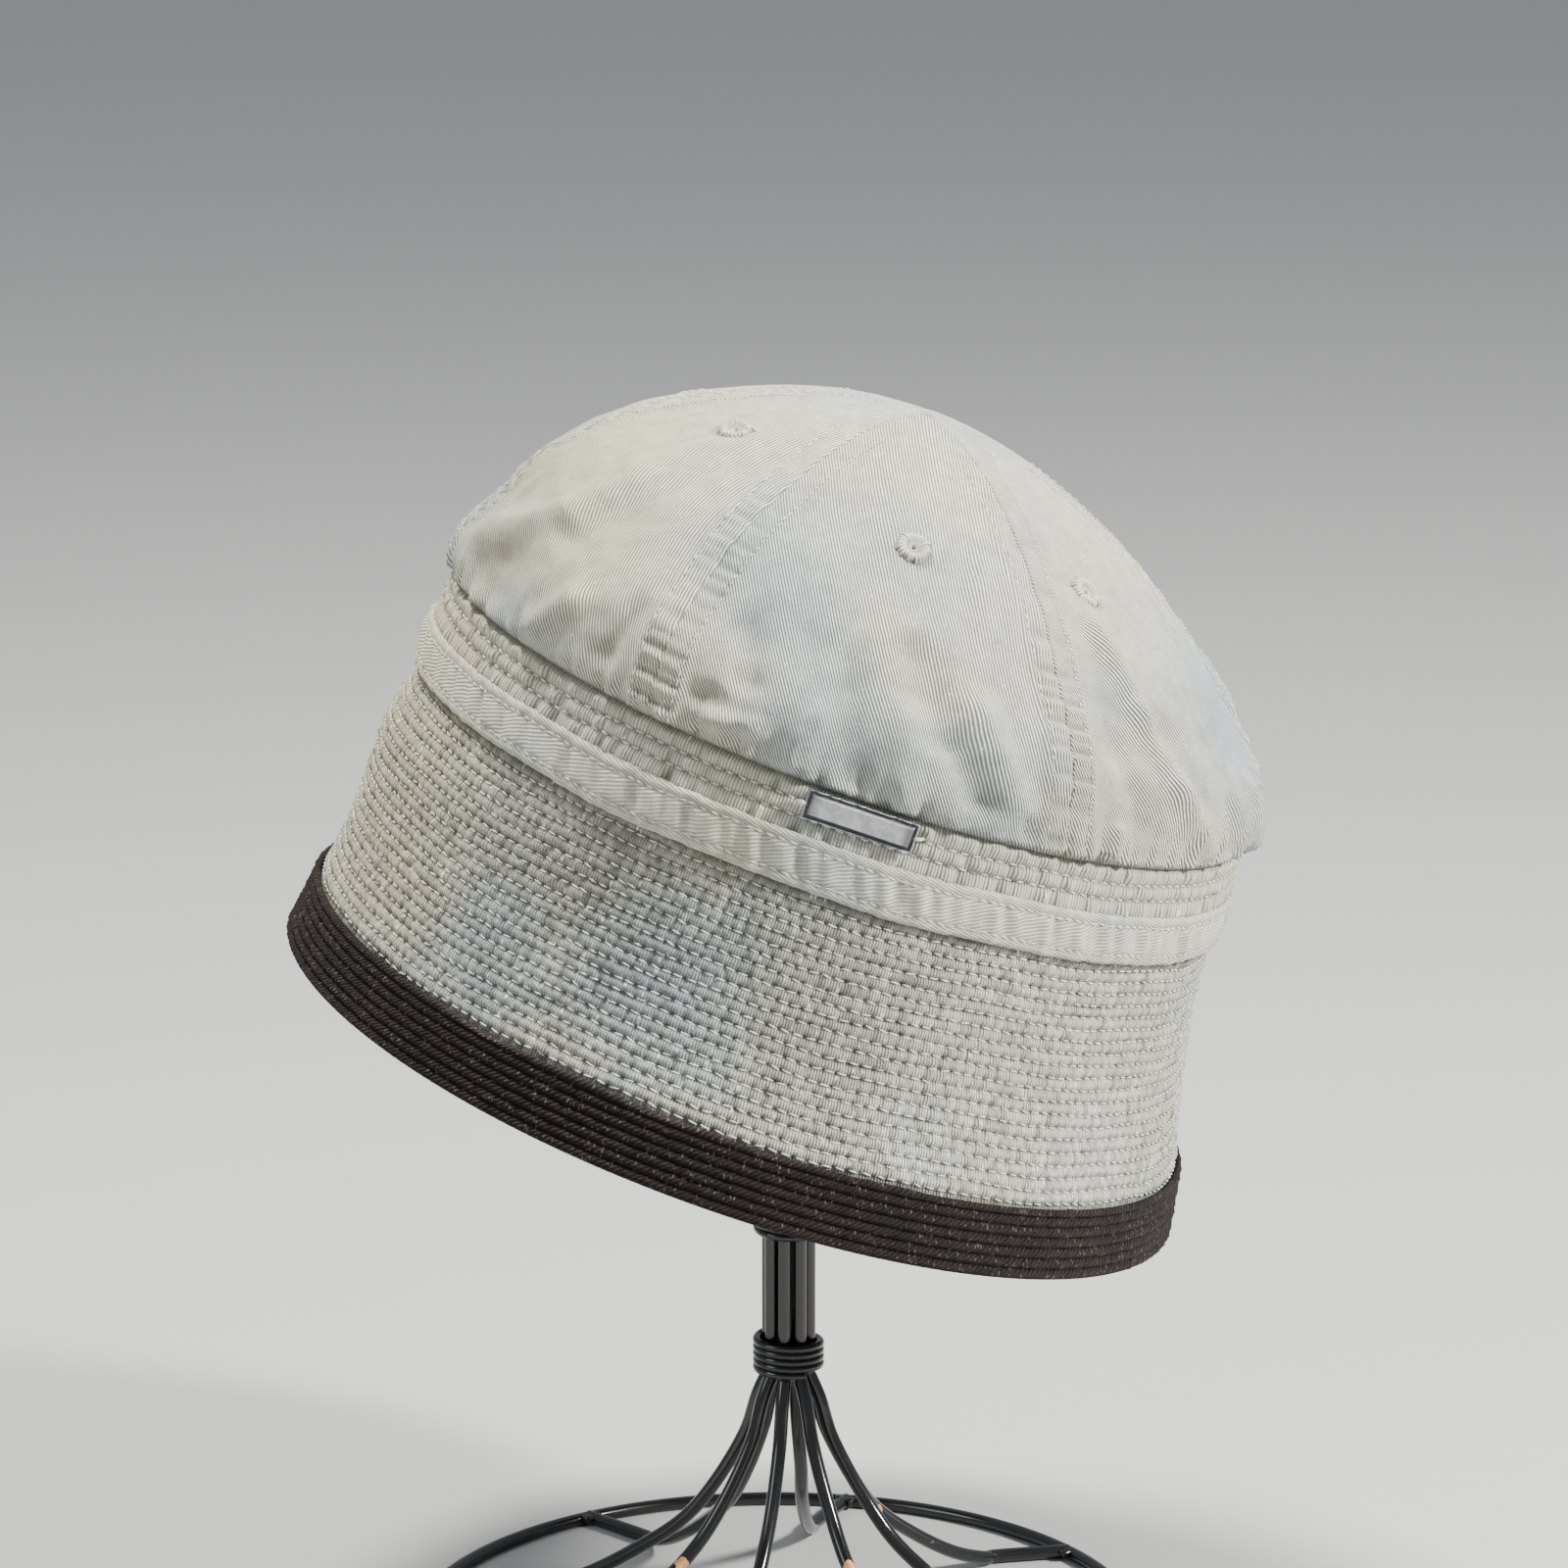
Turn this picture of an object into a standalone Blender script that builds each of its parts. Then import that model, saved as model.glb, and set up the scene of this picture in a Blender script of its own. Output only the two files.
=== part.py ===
# Sailor hat resting on a plain wire hat stand. Metres, +Z up.
import math

import bmesh
import bpy
from mathutils import Euler, Matrix, Vector

MM = 0.001

# Clearances
GAP = 0.35 * MM             # left between pieces that touch
SEAM_GAP = 0.6 * MM         # left between neighbouring crown panels

# Hem binding: a folded strip that wraps the brim's lower edge
HEM_RADIUS = 109.6 * MM     # outside, at the lower edge
HEM_HEIGHT = 15.6 * MM
HEM_RISE_IN = 2.8 * MM      # how far the strip leans in over its height
HEM_CLOTH = 1.1 * MM
HEM_RIDGES = 4
HEM_GROOVE = 0.4 * MM       # depth of its stitched valleys

# Brim: a deep flared wall of row-stitched cloth
BRIM_HEIGHT = 54.3 * MM     # what shows between the hem and the tape
BRIM_CLOTH = 2.0 * MM
BRIM_TOP_LINE = 0.29        # share of the flare that is straight, the rest grows with depth

# Tape: a flat strip round the top of the brim
TAPE_RADIUS = 96.8 * MM
TAPE_HEIGHT = 11.5 * MM
TAPE_CLOTH = 1.2 * MM
TAPE_EDGE = 0.3 * MM        # rounding of its long edges

# Band: the narrow gathered wall between the tape and the crown
BAND_HEIGHT = 10.8 * MM     # what shows
BAND_CLOTH = 1.4 * MM
BAND_TUCK = 2.8 * MM        # how far it goes up inside the crown
BAND_GROOVE = 0.5 * MM      # depth of its stitched valleys

# The band's soft ridges: shares of its height and of the valleys' depth
BAND_WAVE = [
    # up, valley
    (0.15, 0.0),
    (0.33, 1.0),
    (0.50, 0.0),
    (0.67, 1.0),
    (0.84, 0.0),
]

# Crown: six cloth panels
CROWN_INSET = 1.6 * MM      # its seam to the band sits this far in from the tape's face
CROWN_HEIGHT = 68.7 * MM
CROWN_CLOTH = 1.2 * MM
CROWN_LEAN = 6.0 * MM       # how far the top leans to the hat's left
LEAN_HASTE = 0.9            # how much of that lean comes low down
HAT_LEAN = 3.0 * MM         # how far the band sits to the left of the hem
PANELS = 6
PANEL_START = -29.5         # degrees round from the front to the first seam
FELL_WIDTH = 5.2 * MM       # seam allowance, topstitched along both edges of each panel
FELL_RISE = 0.35 * MM
FELL_STEP = 0.85            # share of that strip that lies flat on top
FELL_FADE = 0.3             # the strip sinks in over this share of the crown at the top
TIP_SEAM = 0.35             # most that a seam takes of a panel's width at its tip
TIP_FELL = 0.2              # most that the strip takes there
HEM_OVAL = 0.016            # the hem is this share narrower side to side
UPPER_OVAL = 0.022          # the tape, band and crown are this share wider side to side

# Crown profile: shares of the crown's height and of its seam radius
CROWN_PROFILE = [
    # rise, radius
    (0.000, 1.000),
    (0.080, 1.004),
    (0.170, 0.993),
    (0.260, 0.966),
    (0.340, 0.924),
    (0.510, 0.814),
    (0.650, 0.692),
    (0.760, 0.572),
    (0.846, 0.456),
    (0.914, 0.342),
    (0.962, 0.232),
    (0.990, 0.116),
    (1.000, 0.012),
]

# Soft folds and dents in the crown: degrees from the front, rise share,
# spread in degrees and in rise, depth as a share of the crown's height
CROWN_FOLDS = [
    # turn, rise, turn_spread, rise_spread, depth
    (-94.0, 0.30, 38.0, 0.12, -0.052),
    (-96.0, 0.10, 26.0, 0.08, 0.008),
    (-90.0, 0.76, 42.0, 0.20, 0.012),
    (-66.0, 0.10, 14.0, 0.10, -0.022),
    (84.0, 0.17, 30.0, 0.16, 0.030),
    (58.0, 0.30, 12.0, 0.22, -0.016),
    (14.0, 0.20, 6.0, 0.20, 0.013),
    (2.0, 0.22, 6.0, 0.18, -0.012),
    (-14.0, 0.15, 7.0, 0.16, 0.011),
    (140.0, 0.18, 16.0, 0.14, -0.018),
    (-150.0, 0.20, 18.0, 0.15, 0.015),
]
FOLD_FADE = 0.08            # the folds start over this share above the seam

# A soft bulge of the brim under the tape, on the hat's left
BRIM_PUFF = 2.4 * MM
BRIM_PUFF_TURN = -88.0
BRIM_PUFF_SPREAD = 42.0
BRIM_PUFF_LEVEL = 0.72      # share of the brim's height where it is fullest

# Eyelets: degrees from the middle of their panel and rise share
EYELETS = [
    # turn, rise
    (1.5, 0.718),
    (-13.5, 0.720),
    (0.0, 0.730),
    (0.0, 0.730),
    (0.0, 0.730),
    (3.5, 0.805),
]
EYELET_RADIUS = 4.3 * MM
EYELET_THREAD = 1.7 * MM    # half the width of the stitched ring
EYELET_FLATTEN = 0.35       # height of the ring as a share of its width

# Name plate on the front of the band
PLATE_WIDTH = 25.0 * MM
PLATE_HEIGHT = 6.6 * MM
PLATE_BACK = 0.7 * MM       # thickness of its tray
PLATE_RIM = 0.5 * MM
PLATE_GROOVE = 1.2 * MM
PLATE_GROOVE_DEPTH = 0.35 * MM
PLATE_TURN = 1.8            # degrees from the front
STITCH_WIRE = 0.7 * MM
STITCH_SPAN = 2.2 * MM
STITCH_RISE = 1.1 * MM
STITCH_START = 0.25         # share of the loop's arch that the plate's edge hides

# How the hat sits on the stand
HAT_TILT = 19.35            # degrees over to the right
HAT_NOD = 1.0               # degrees toward the front
HAT_LEFT = 13.5 * MM        # the hem's centre from the foot of the stand's neck
HAT_BACK = 0.5 * MM
HAT_UP = 137.6 * MM

# Wire stand
WIRES = 8
WIRE_THICKNESS = 3.3 * MM
NECK_RADIUS = (WIRE_THICKNESS + GAP) / (2 * math.sin(math.pi / WIRES))
RING_RADIUS = 85.8 * MM     # foot ring, to the wire's middle
RING_SHIFT = 2.8 * MM       # the ring sits this far left of the neck
FOOT_LIFT = 0.2 * MM        # the spokes hang this far above the floor
TOUCH_RADIUS = 67.3 * MM    # where the legs come down to the floor
COLLAR_HEIGHT = 9.6 * MM
COLLAR_TURNS = 5
COLLAR_WALL = 1.6 * MM
COLLAR_GROOVE = 0.4 * MM    # depth between the wound turns
COLLAR_LOW = 64.0 * MM      # height of the lower collar's lower edge
COLLAR_HIGH = 98.0 * MM     # height of the upper collar's lower edge
HEAD_RADIUS = 40.0 * MM
CAP_RADIUS = 9.0 * MM
CAP_HEIGHT = 3.4 * MM
CAP_FOOT = 0.92             # its underside as a share of its radius
JOINT_TURN = 11.7           # degrees from the back to the first spoke's joint

# The cap's dome: shares of its radius and of its height
CAP_DOME = [
    # out, up
    (0.00, 1.00),
    (0.35, 0.95),
    (0.65, 0.82),
    (0.88, 0.62),
    (1.00, 0.25),
]

# Each leg's path: shares of the way out to the floor touch and of the collar's height
LEG_PATH = [
    # out, up
    (0.000, 1.000),
    (0.044, 0.900),
    (0.095, 0.740),
    (0.217, 0.525),
    (0.360, 0.350),
    (0.581, 0.185),
    (0.773, 0.070),
    (0.934, 0.008),
]

# Each leg is a little bent round from its joint with the ring: degrees
LEG_BENDS = [-6.2, -7.1, 7.4, 3.1, 3.4, 2.1, 9.0, 1.7]
BEND_SHARE = 0.5            # share of the way out where the whole bend is reached

# The balloon head's path: shares of its height and of its greatest radius
HEAD_PATH = [
    # up, out
    (0.06, 0.14),
    (0.18, 0.50),
    (0.34, 0.84),
    (0.52, 1.00),
    (0.70, 0.94),
    (0.85, 0.68),
    (0.94, 0.34),
    (0.98, 0.11),
    (1.00, 0.08),
]

# Mesh steps
ROUND_STEPS = 44
RING_SIDES = 8
TUBE_SIDES = 6
PANEL_COLUMNS = 9
PANEL_ROWS = 10
ROW_CROWDING = 1.5          # the panel's rows crowd together toward the top
BRIM_ROWS = 6
EYELET_STEPS = 14
EYELET_SIDES = 6
VENT_STEPS = 8
STITCH_STEPS = 6
COLLAR_STEPS = 16
CAP_STEPS = 24
SHARP_ANGLE = 50.0          # degrees between faces that stay a crisp edge

# Where the crown's underside is measured over the stand's cap
TOP_TURN_STEP = 4           # degrees
TOP_ROWS = 36
TOP_FROM = 0.40             # rise shares
TOP_TO = 0.98


def make_material(name, color, roughness, metallic=0.0):
    material = bpy.data.materials.new(name)
    material.use_nodes = True
    shader = material.node_tree.nodes["Principled BSDF"]
    shader.inputs["Base Color"].default_value = (*color, 1.0)
    shader.inputs["Roughness"].default_value = roughness
    shader.inputs["Metallic"].default_value = metallic
    return material


def clear_scene():
    for old in list(bpy.data.objects):
        bpy.data.objects.remove(old, do_unlink=True)


def make_collection(name):
    collection = bpy.data.collections.new(name)
    bpy.context.scene.collection.children.link(collection)
    return collection


def make_empty(name, collection, parent=None):
    empty = bpy.data.objects.new(name, None)
    collection.objects.link(empty)
    empty.parent = parent
    return empty


def smoothstep(value):
    value = min(max(value, 0.0), 1.0)
    return value * value * (3 - 2 * value)


def table_value(table, x):
    # Smooth value between the rows of a two-column table
    for index in range(len(table) - 1):
        if x <= table[index + 1][0]:
            break
    x0, y0 = table[index]
    x1, y1 = table[index + 1]
    before = table[max(index - 1, 0)]
    after = table[min(index + 2, len(table) - 1)]
    slope0 = (y1 - before[1]) / (x1 - before[0])
    slope1 = (after[1] - y0) / (after[0] - x0)
    span = x1 - x0
    t = min(max((x - x0) / span, 0.0), 1.0)
    return ((2 * t**3 - 3 * t**2 + 1) * y0 + (t**3 - 2 * t**2 + t) * span * slope0
            + (3 * t**2 - 2 * t**3) * y1 + (t**3 - t**2) * span * slope1)


# Heights of the hat's levels above its hem
tape_low = HEM_HEIGHT + BRIM_HEIGHT
tape_high = tape_low + TAPE_HEIGHT
seam_level = tape_high + BAND_HEIGHT
band_low = tape_low + TAPE_HEIGHT / 2
band_outer = TAPE_RADIUS - TAPE_CLOTH - GAP
crown_radius = TAPE_RADIUS - CROWN_INSET
band_inside_crown = crown_radius - CROWN_CLOTH - 2 * GAP


def turn_gap(turn, other):
    return (turn - other + 180.0) % 360.0 - 180.0


def hat_point(turn, radius, height):
    # A point of the hat: degrees round from the front, radius and height above the hem
    high = smoothstep(height / tape_low)
    angle = math.radians(turn)
    sideways = -math.cos(2 * angle)
    radius *= 1 + (UPPER_OVAL * high - HEM_OVAL * (1 - high)) / 2 * sideways
    up_brim = min(max((height - HEM_HEIGHT) / BRIM_HEIGHT, 0.0), 1.0)
    if up_brim < BRIM_PUFF_LEVEL:
        swell = smoothstep(up_brim / BRIM_PUFF_LEVEL)
    else:
        swell = smoothstep((1 - up_brim) / (1 - BRIM_PUFF_LEVEL))
    across = turn_gap(turn, BRIM_PUFF_TURN) / BRIM_PUFF_SPREAD
    radius += BRIM_PUFF * swell * math.exp(-across**2)
    return Vector((radius * math.sin(angle) - HAT_LEAN * high,
                   -radius * math.cos(angle), height))


def crown_point(turn, rise, out=0.0):
    # A point of the crown: degrees round from the front and share of the crown's height
    radius = crown_radius * table_value(CROWN_PROFILE, rise)
    for fold_turn, fold_rise, turn_spread, rise_spread, depth in CROWN_FOLDS:
        across = turn_gap(turn, fold_turn) / turn_spread
        along = (rise - fold_rise) / rise_spread
        fade = smoothstep(rise / FOLD_FADE)
        radius += fade * depth * CROWN_HEIGHT * math.exp(-across**2 - along**2)
    point = hat_point(turn, radius + out, seam_level + rise * CROWN_HEIGHT)
    point.x -= CROWN_LEAN * rise * (1 + LEAN_HASTE * (1 - rise))
    return point


def crown_frame(turn, rise):
    # Point, direction round, direction up and outward normal on the crown
    here = crown_point(turn, rise)
    around = (crown_point(turn + 1.0, rise) - crown_point(turn - 1.0, rise)).normalized()
    up = (crown_point(turn, rise + 0.01) - crown_point(turn, rise - 0.01)).normalized()
    normal = around.cross(up).normalized()
    return here, around, normal.cross(around), normal


def finish(piece, material, smooth=True):
    # Clean normals, material and shading of a mesh object
    work = bmesh.new()
    work.from_mesh(piece.data)
    bmesh.ops.recalc_face_normals(work, faces=work.faces)
    if work.calc_volume(signed=True) < 0:
        bmesh.ops.reverse_faces(work, faces=work.faces)
    work.to_mesh(piece.data)
    work.free()
    piece.data.materials.clear()
    piece.data.materials.append(material)
    if smooth:
        piece.data.shade_smooth()
        piece.data.set_sharp_from_angle(angle=math.radians(SHARP_ANGLE))


def turned_mesh(name, section, steps, collection):
    # A closed section (radius, height) turned once round the axis, as a plain mesh
    mesh = bpy.data.meshes.new(name)
    count = len(section)
    edges = [(index, (index + 1) % count) for index in range(count)]
    mesh.from_pydata([(radius, 0.0, height) for radius, height in section], edges, [])
    piece = bpy.data.objects.new(name, mesh)
    collection.objects.link(piece)
    screw = piece.modifiers.new("turn", "SCREW")
    screw.steps = steps
    screw.render_steps = steps
    screw.use_merge_vertices = True
    screw.merge_threshold = 0.01 * MM
    graph = bpy.context.evaluated_depsgraph_get()
    turned = bpy.data.meshes.new_from_object(piece.evaluated_get(graph))
    piece.modifiers.clear()
    piece.data = turned
    bpy.data.meshes.remove(mesh)
    turned.name = name
    return piece


def wall_section(outer, thickness, kept):
    # Closed section of a cloth wall: its outer line, listed upward, and the rows kept inside
    inner = [(outer[row][0] - thickness, outer[row][1]) for row in reversed(kept)]
    return outer + inner


def hat_ring(name, section, material, collection, hat):
    # A cloth ring of the hat, laid on the hat's oval and lean
    piece = turned_mesh(name, section, ROUND_STEPS, collection)
    for vertex in piece.data.vertices:
        x, y, z = vertex.co
        vertex.co = hat_point(math.degrees(math.atan2(x, -y)), math.hypot(x, y), z)
    finish(piece, material)
    piece.parent = hat
    return piece


def brim_radius(height):
    # Outer radius of the brim at a height above the hem, straight inside the hem and the tape
    low_radius = HEM_RADIUS - HEM_RISE_IN - HEM_CLOTH - GAP
    depth = min(max((tape_low - height) / BRIM_HEIGHT, 0.0), 1.0)
    flare = low_radius - band_outer
    inside_hem = HEM_RISE_IN * max(1 - height / HEM_HEIGHT, 0.0)
    return (band_outer + inside_hem
            + flare * (BRIM_TOP_LINE * depth + (1 - BRIM_TOP_LINE) * depth**2))


def make_hem(material, collection, hat):
    outer = [(HEM_RADIUS - HEM_GROOVE, 0.0)]
    rows = 2 * HEM_RIDGES + 1
    for row in range(1, rows):
        share = row / rows
        groove = HEM_GROOVE if row % 2 == 0 else 0.0
        outer.append((HEM_RADIUS - HEM_RISE_IN * share - groove, HEM_HEIGHT * share))
    outer.append((HEM_RADIUS - HEM_RISE_IN, HEM_HEIGHT))
    brim_foot = HEM_CLOTH + GAP
    channel_out = [
        (brim_radius(HEM_HEIGHT) + GAP, HEM_HEIGHT),
        (brim_radius(brim_foot) + GAP, HEM_CLOTH),
    ]
    channel_in = [
        (brim_radius(brim_foot) - BRIM_CLOTH - GAP, HEM_CLOTH),
        (brim_radius(HEM_HEIGHT) - BRIM_CLOTH - GAP, HEM_HEIGHT),
    ]
    inner = [
        (brim_radius(HEM_HEIGHT) - BRIM_CLOTH - GAP - HEM_CLOTH, HEM_HEIGHT),
        (brim_radius(brim_foot) - BRIM_CLOTH - GAP - HEM_CLOTH, 0.0),
    ]
    return hat_ring("hem_binding", outer + channel_out + channel_in + inner,
                    material, collection, hat)


def make_brim(material, collection, hat):
    low = HEM_CLOTH + GAP
    outer = [(brim_radius(low), low)]
    for step in range(BRIM_ROWS + 1):
        height = HEM_HEIGHT + BRIM_HEIGHT * step / BRIM_ROWS
        outer.append((brim_radius(height), height))
    outer.append((band_outer, band_low - GAP))
    last = len(outer) - 1
    section = wall_section(outer, BRIM_CLOTH, [0, *range(1, last, 2), last])
    return hat_ring("brim", section, material, collection, hat)


def make_tape(material, collection, hat):
    outer = [
        (TAPE_RADIUS - TAPE_EDGE, tape_low),
        (TAPE_RADIUS, tape_low + 2 * TAPE_EDGE),
        (TAPE_RADIUS, tape_high - 2 * TAPE_EDGE),
        (TAPE_RADIUS - TAPE_EDGE, tape_high),
    ]
    inner = [
        (TAPE_RADIUS - TAPE_CLOTH, tape_high),
        (TAPE_RADIUS - TAPE_CLOTH, tape_low),
    ]
    return hat_ring("tape", outer + inner, material, collection, hat)


def make_band(material, collection, hat):
    # Two stitched valleys leave three soft ridges between the tape and the crown
    lean = band_outer - band_inside_crown
    outer = [(band_outer, band_low), (band_outer, tape_high)]
    for share, valley in BAND_WAVE:
        radius = band_outer - lean / 2 * share - BAND_GROOVE * valley
        outer.append((radius, tape_high + BAND_HEIGHT * share))
    outer.append((band_inside_crown, seam_level))
    outer.append((band_inside_crown - GAP, seam_level + BAND_TUCK))
    last = len(outer) - 1
    section = wall_section(outer, BAND_CLOTH, [0, 1, last - 1, last])
    return hat_ring("band", section, material, collection, hat)


def make_panel(number, material, collection, hat):
    # One crown panel with a raised seam allowance along both edges
    bpy.ops.mesh.primitive_grid_add(x_subdivisions=PANEL_COLUMNS, y_subdivisions=PANEL_ROWS, size=1)
    panel = bpy.context.object
    panel.name = f"crown_panel_{number}"
    panel.data.name = panel.name
    place_in(panel, collection)
    width = 360.0 / PANELS
    start = PANEL_START + (number - 1) * width
    for vertex in panel.data.vertices:
        column = round((vertex.co.x + 0.5) * PANEL_COLUMNS)
        rise = 1 - (0.5 - vertex.co.y) ** ROW_CROWDING
        here = crown_radius * table_value(CROWN_PROFILE, rise)
        margin = min(math.degrees(SEAM_GAP / 2 / here), TIP_SEAM * width)
        fell = min(math.degrees(FELL_WIDTH / here), TIP_FELL * width)
        edge = min(column, PANEL_COLUMNS - column)
        if edge <= 1:
            inward = margin + fell * FELL_STEP * edge
        else:
            rest = (edge - 2) / (PANEL_COLUMNS - 4)
            inward = margin + fell + (width - 2 * margin - 2 * fell) * rest
        turn = start + (inward if column == edge else width - inward)
        fade = smoothstep((1 - rise) / FELL_FADE)
        vertex.co = crown_point(turn, rise, FELL_RISE * fade if edge <= 1 else 0.0)
    finish(panel, material)
    wall = panel.modifiers.new("cloth", "SOLIDIFY")
    wall.thickness = CROWN_CLOTH
    wall.offset = -1.0
    wall.use_even_offset = False
    panel.parent = hat
    return panel


def make_eyelet(number, panel, material, collection, cutters, hat):
    # A stitched ring round a small vent hole through the panel
    turn, rise = EYELETS[number - 1]
    turn += PANEL_START + (number - 0.5) * 360.0 / PANELS
    here, around, up, normal = crown_frame(turn, rise)
    facing = Matrix((around, up, normal)).transposed().to_4x4()
    height = EYELET_THREAD * EYELET_FLATTEN
    bpy.ops.mesh.primitive_torus_add(
        major_segments=EYELET_STEPS, minor_segments=EYELET_SIDES,
        major_radius=EYELET_RADIUS - EYELET_THREAD, minor_radius=EYELET_THREAD)
    eyelet = bpy.context.object
    eyelet.name = f"eyelet_{number}"
    eyelet.data.name = eyelet.name
    for vertex in eyelet.data.vertices:
        vertex.co.z *= EYELET_FLATTEN
    place_in(eyelet, collection)
    finish(eyelet, material)
    eyelet.parent = hat
    eyelet.matrix_local = Matrix.Translation(here + normal * (height + GAP)) @ facing

    bpy.ops.mesh.primitive_cylinder_add(
        vertices=VENT_STEPS, radius=EYELET_RADIUS - 2 * EYELET_THREAD, depth=8 * CROWN_CLOTH)
    cutter = bpy.context.object
    cutter.name = f"vent_cutter_{number}"
    place_in(cutter, cutters)
    cutter.hide_render = True
    cutter.display_type = "WIRE"
    cutter.parent = hat
    cutter.matrix_local = Matrix.Translation(here) @ facing
    hole = panel.modifiers.new("vent", "BOOLEAN")
    hole.operation = "DIFFERENCE"
    hole.object = cutter
    return eyelet


def place_in(piece, collection):
    for other in piece.users_collection:
        other.objects.unlink(piece)
    collection.objects.link(piece)


def make_plate(material, collection, hat):
    # A small tray with a rim, a groove and a raised bare field, standing on the band
    bpy.ops.mesh.primitive_cube_add(size=1)
    plate = bpy.context.object
    plate.name = "name_plate"
    plate.data.name = plate.name
    place_in(plate, collection)
    for vertex in plate.data.vertices:
        vertex.co.x *= PLATE_WIDTH
        vertex.co.y *= PLATE_HEIGHT
        vertex.co.z = (vertex.co.z + 0.5) * PLATE_BACK
    work = bmesh.new()
    work.from_mesh(plate.data)
    top = [face for face in work.faces if face.normal.z > 0.9]
    bmesh.ops.inset_region(work, faces=top, thickness=PLATE_RIM)
    top = [face for face in work.faces if face.normal.z > 0.9
           and abs(face.calc_center_median().x) < 0.1 * PLATE_WIDTH
           and abs(face.calc_center_median().y) < 0.1 * PLATE_HEIGHT]
    step = 0.1 * PLATE_GROOVE
    bmesh.ops.inset_region(work, faces=top, thickness=step, depth=-PLATE_GROOVE_DEPTH)
    bmesh.ops.inset_region(work, faces=top, thickness=PLATE_GROOVE - 2 * step)
    bmesh.ops.inset_region(work, faces=top, thickness=step, depth=PLATE_GROOVE_DEPTH)
    work.to_mesh(plate.data)
    work.free()
    finish(plate, material, smooth=False)
    level = seam_level - GAP - PLATE_HEIGHT / 2
    out = max(band_outer, crown_radius) + GAP
    plate.parent = hat
    plate.matrix_local = front_frame(PLATE_TURN, out, level)
    return plate


def front_frame(turn, radius, height):
    # A frame on the hat's wall: x round to the right, y up, z outward
    here = hat_point(turn, radius, height)
    angle = math.radians(turn)
    around = Vector((math.cos(angle), math.sin(angle), 0.0))
    normal = Vector((math.sin(angle), -math.cos(angle), 0.0))
    up = Vector((0.0, 0.0, 1.0))
    return Matrix.Translation(here) @ Matrix((around, up, normal)).transposed().to_4x4()


def tube(name, points, thickness, material, collection, parent):
    # A round wire through points, with closed ends, made a mesh
    curve = bpy.data.curves.new(name, "CURVE")
    curve.dimensions = "3D"
    curve.bevel_depth = thickness / 2
    curve.bevel_resolution = (TUBE_SIDES - 4) // 2
    curve.use_fill_caps = True
    spline = curve.splines.new("POLY")
    spline.points.add(len(points) - 1)
    for target, point in zip(spline.points, points):
        target.co = (*point, 1.0)
    source = bpy.data.objects.new(name + "_line", curve)
    collection.objects.link(source)
    graph = bpy.context.evaluated_depsgraph_get()
    mesh = bpy.data.meshes.new_from_object(source.evaluated_get(graph))
    bpy.data.objects.remove(source, do_unlink=True)
    work = bmesh.new()
    work.from_mesh(mesh)
    bmesh.ops.remove_doubles(work, verts=work.verts, dist=0.01 * MM)
    work.to_mesh(mesh)
    work.free()
    mesh.name = name
    piece = bpy.data.objects.new(name, mesh)
    collection.objects.link(piece)
    piece.parent = parent
    finish(piece, material)
    return piece


def make_stitches(material, collection, hat):
    # A small loop at each end of the plate, from the band over to the plate's edge
    level = seam_level - GAP - PLATE_HEIGHT / 2
    out = max(band_outer, crown_radius) + GAP + STITCH_WIRE / 2
    half = math.degrees(PLATE_WIDTH / 2 / out)
    for name, side in (("plate_stitch_left", -1), ("plate_stitch_right", 1)):
        near = half + math.degrees((GAP + STITCH_WIRE / 2) / out)
        span = math.degrees(STITCH_SPAN / out)
        points = []
        for step in range(STITCH_STEPS + 1):
            share = step / STITCH_STEPS
            turn = PLATE_TURN + side * (near + span * share)
            arch = math.pi * (STITCH_START + (1 - STITCH_START) * share)
            points.append(hat_point(turn, out + math.sin(arch) * STITCH_RISE, level))
        tube(name, points, STITCH_WIRE, material, collection, hat)


def smooth_path(corners, steps):
    # Points of a smooth curve that runs through the corners
    points = []
    last = len(corners) - 1
    for index in range(last):
        a = corners[max(index - 1, 0)]
        b = corners[index]
        c = corners[index + 1]
        d = corners[min(index + 2, last)]
        for step in range(steps):
            t = step / steps
            points.append(0.5 * (2 * b + (c - a) * t + (2 * a - 5 * b + 4 * c - d) * t**2
                                 + (3 * b - a - 3 * c + d) * t**3))
    points.append(corners[last])
    return points


def make_ring(material, collection, stand):
    # The foot ring has a flat facet along its underside
    bpy.ops.mesh.primitive_torus_add(
        major_segments=ROUND_STEPS, minor_segments=RING_SIDES,
        major_radius=RING_RADIUS, minor_radius=WIRE_THICKNESS / 2)
    ring = bpy.context.object
    ring.name = "base_ring"
    ring.data.name = ring.name
    half_step = math.pi / RING_SIDES
    for vertex in ring.data.vertices:
        angle = math.atan2(vertex.co.y, vertex.co.x)
        across = math.hypot(vertex.co.x, vertex.co.y) - RING_RADIUS
        turned = Matrix.Rotation(half_step, 2) @ Vector((across, vertex.co.z))
        radius = RING_RADIUS + turned.x
        vertex.co = (radius * math.cos(angle), radius * math.sin(angle), turned.y)
    place_in(ring, collection)
    finish(ring, material)
    ring.parent = stand
    ring.location = (-RING_SHIFT, 0.0, WIRE_THICKNESS / 2 * math.cos(half_step))
    return ring


def around_axis(turn, radius, height):
    # A point round the stand's axis, degrees from the back toward the right
    angle = math.radians(turn)
    return Vector((radius * math.sin(angle), radius * math.cos(angle), height))


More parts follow.
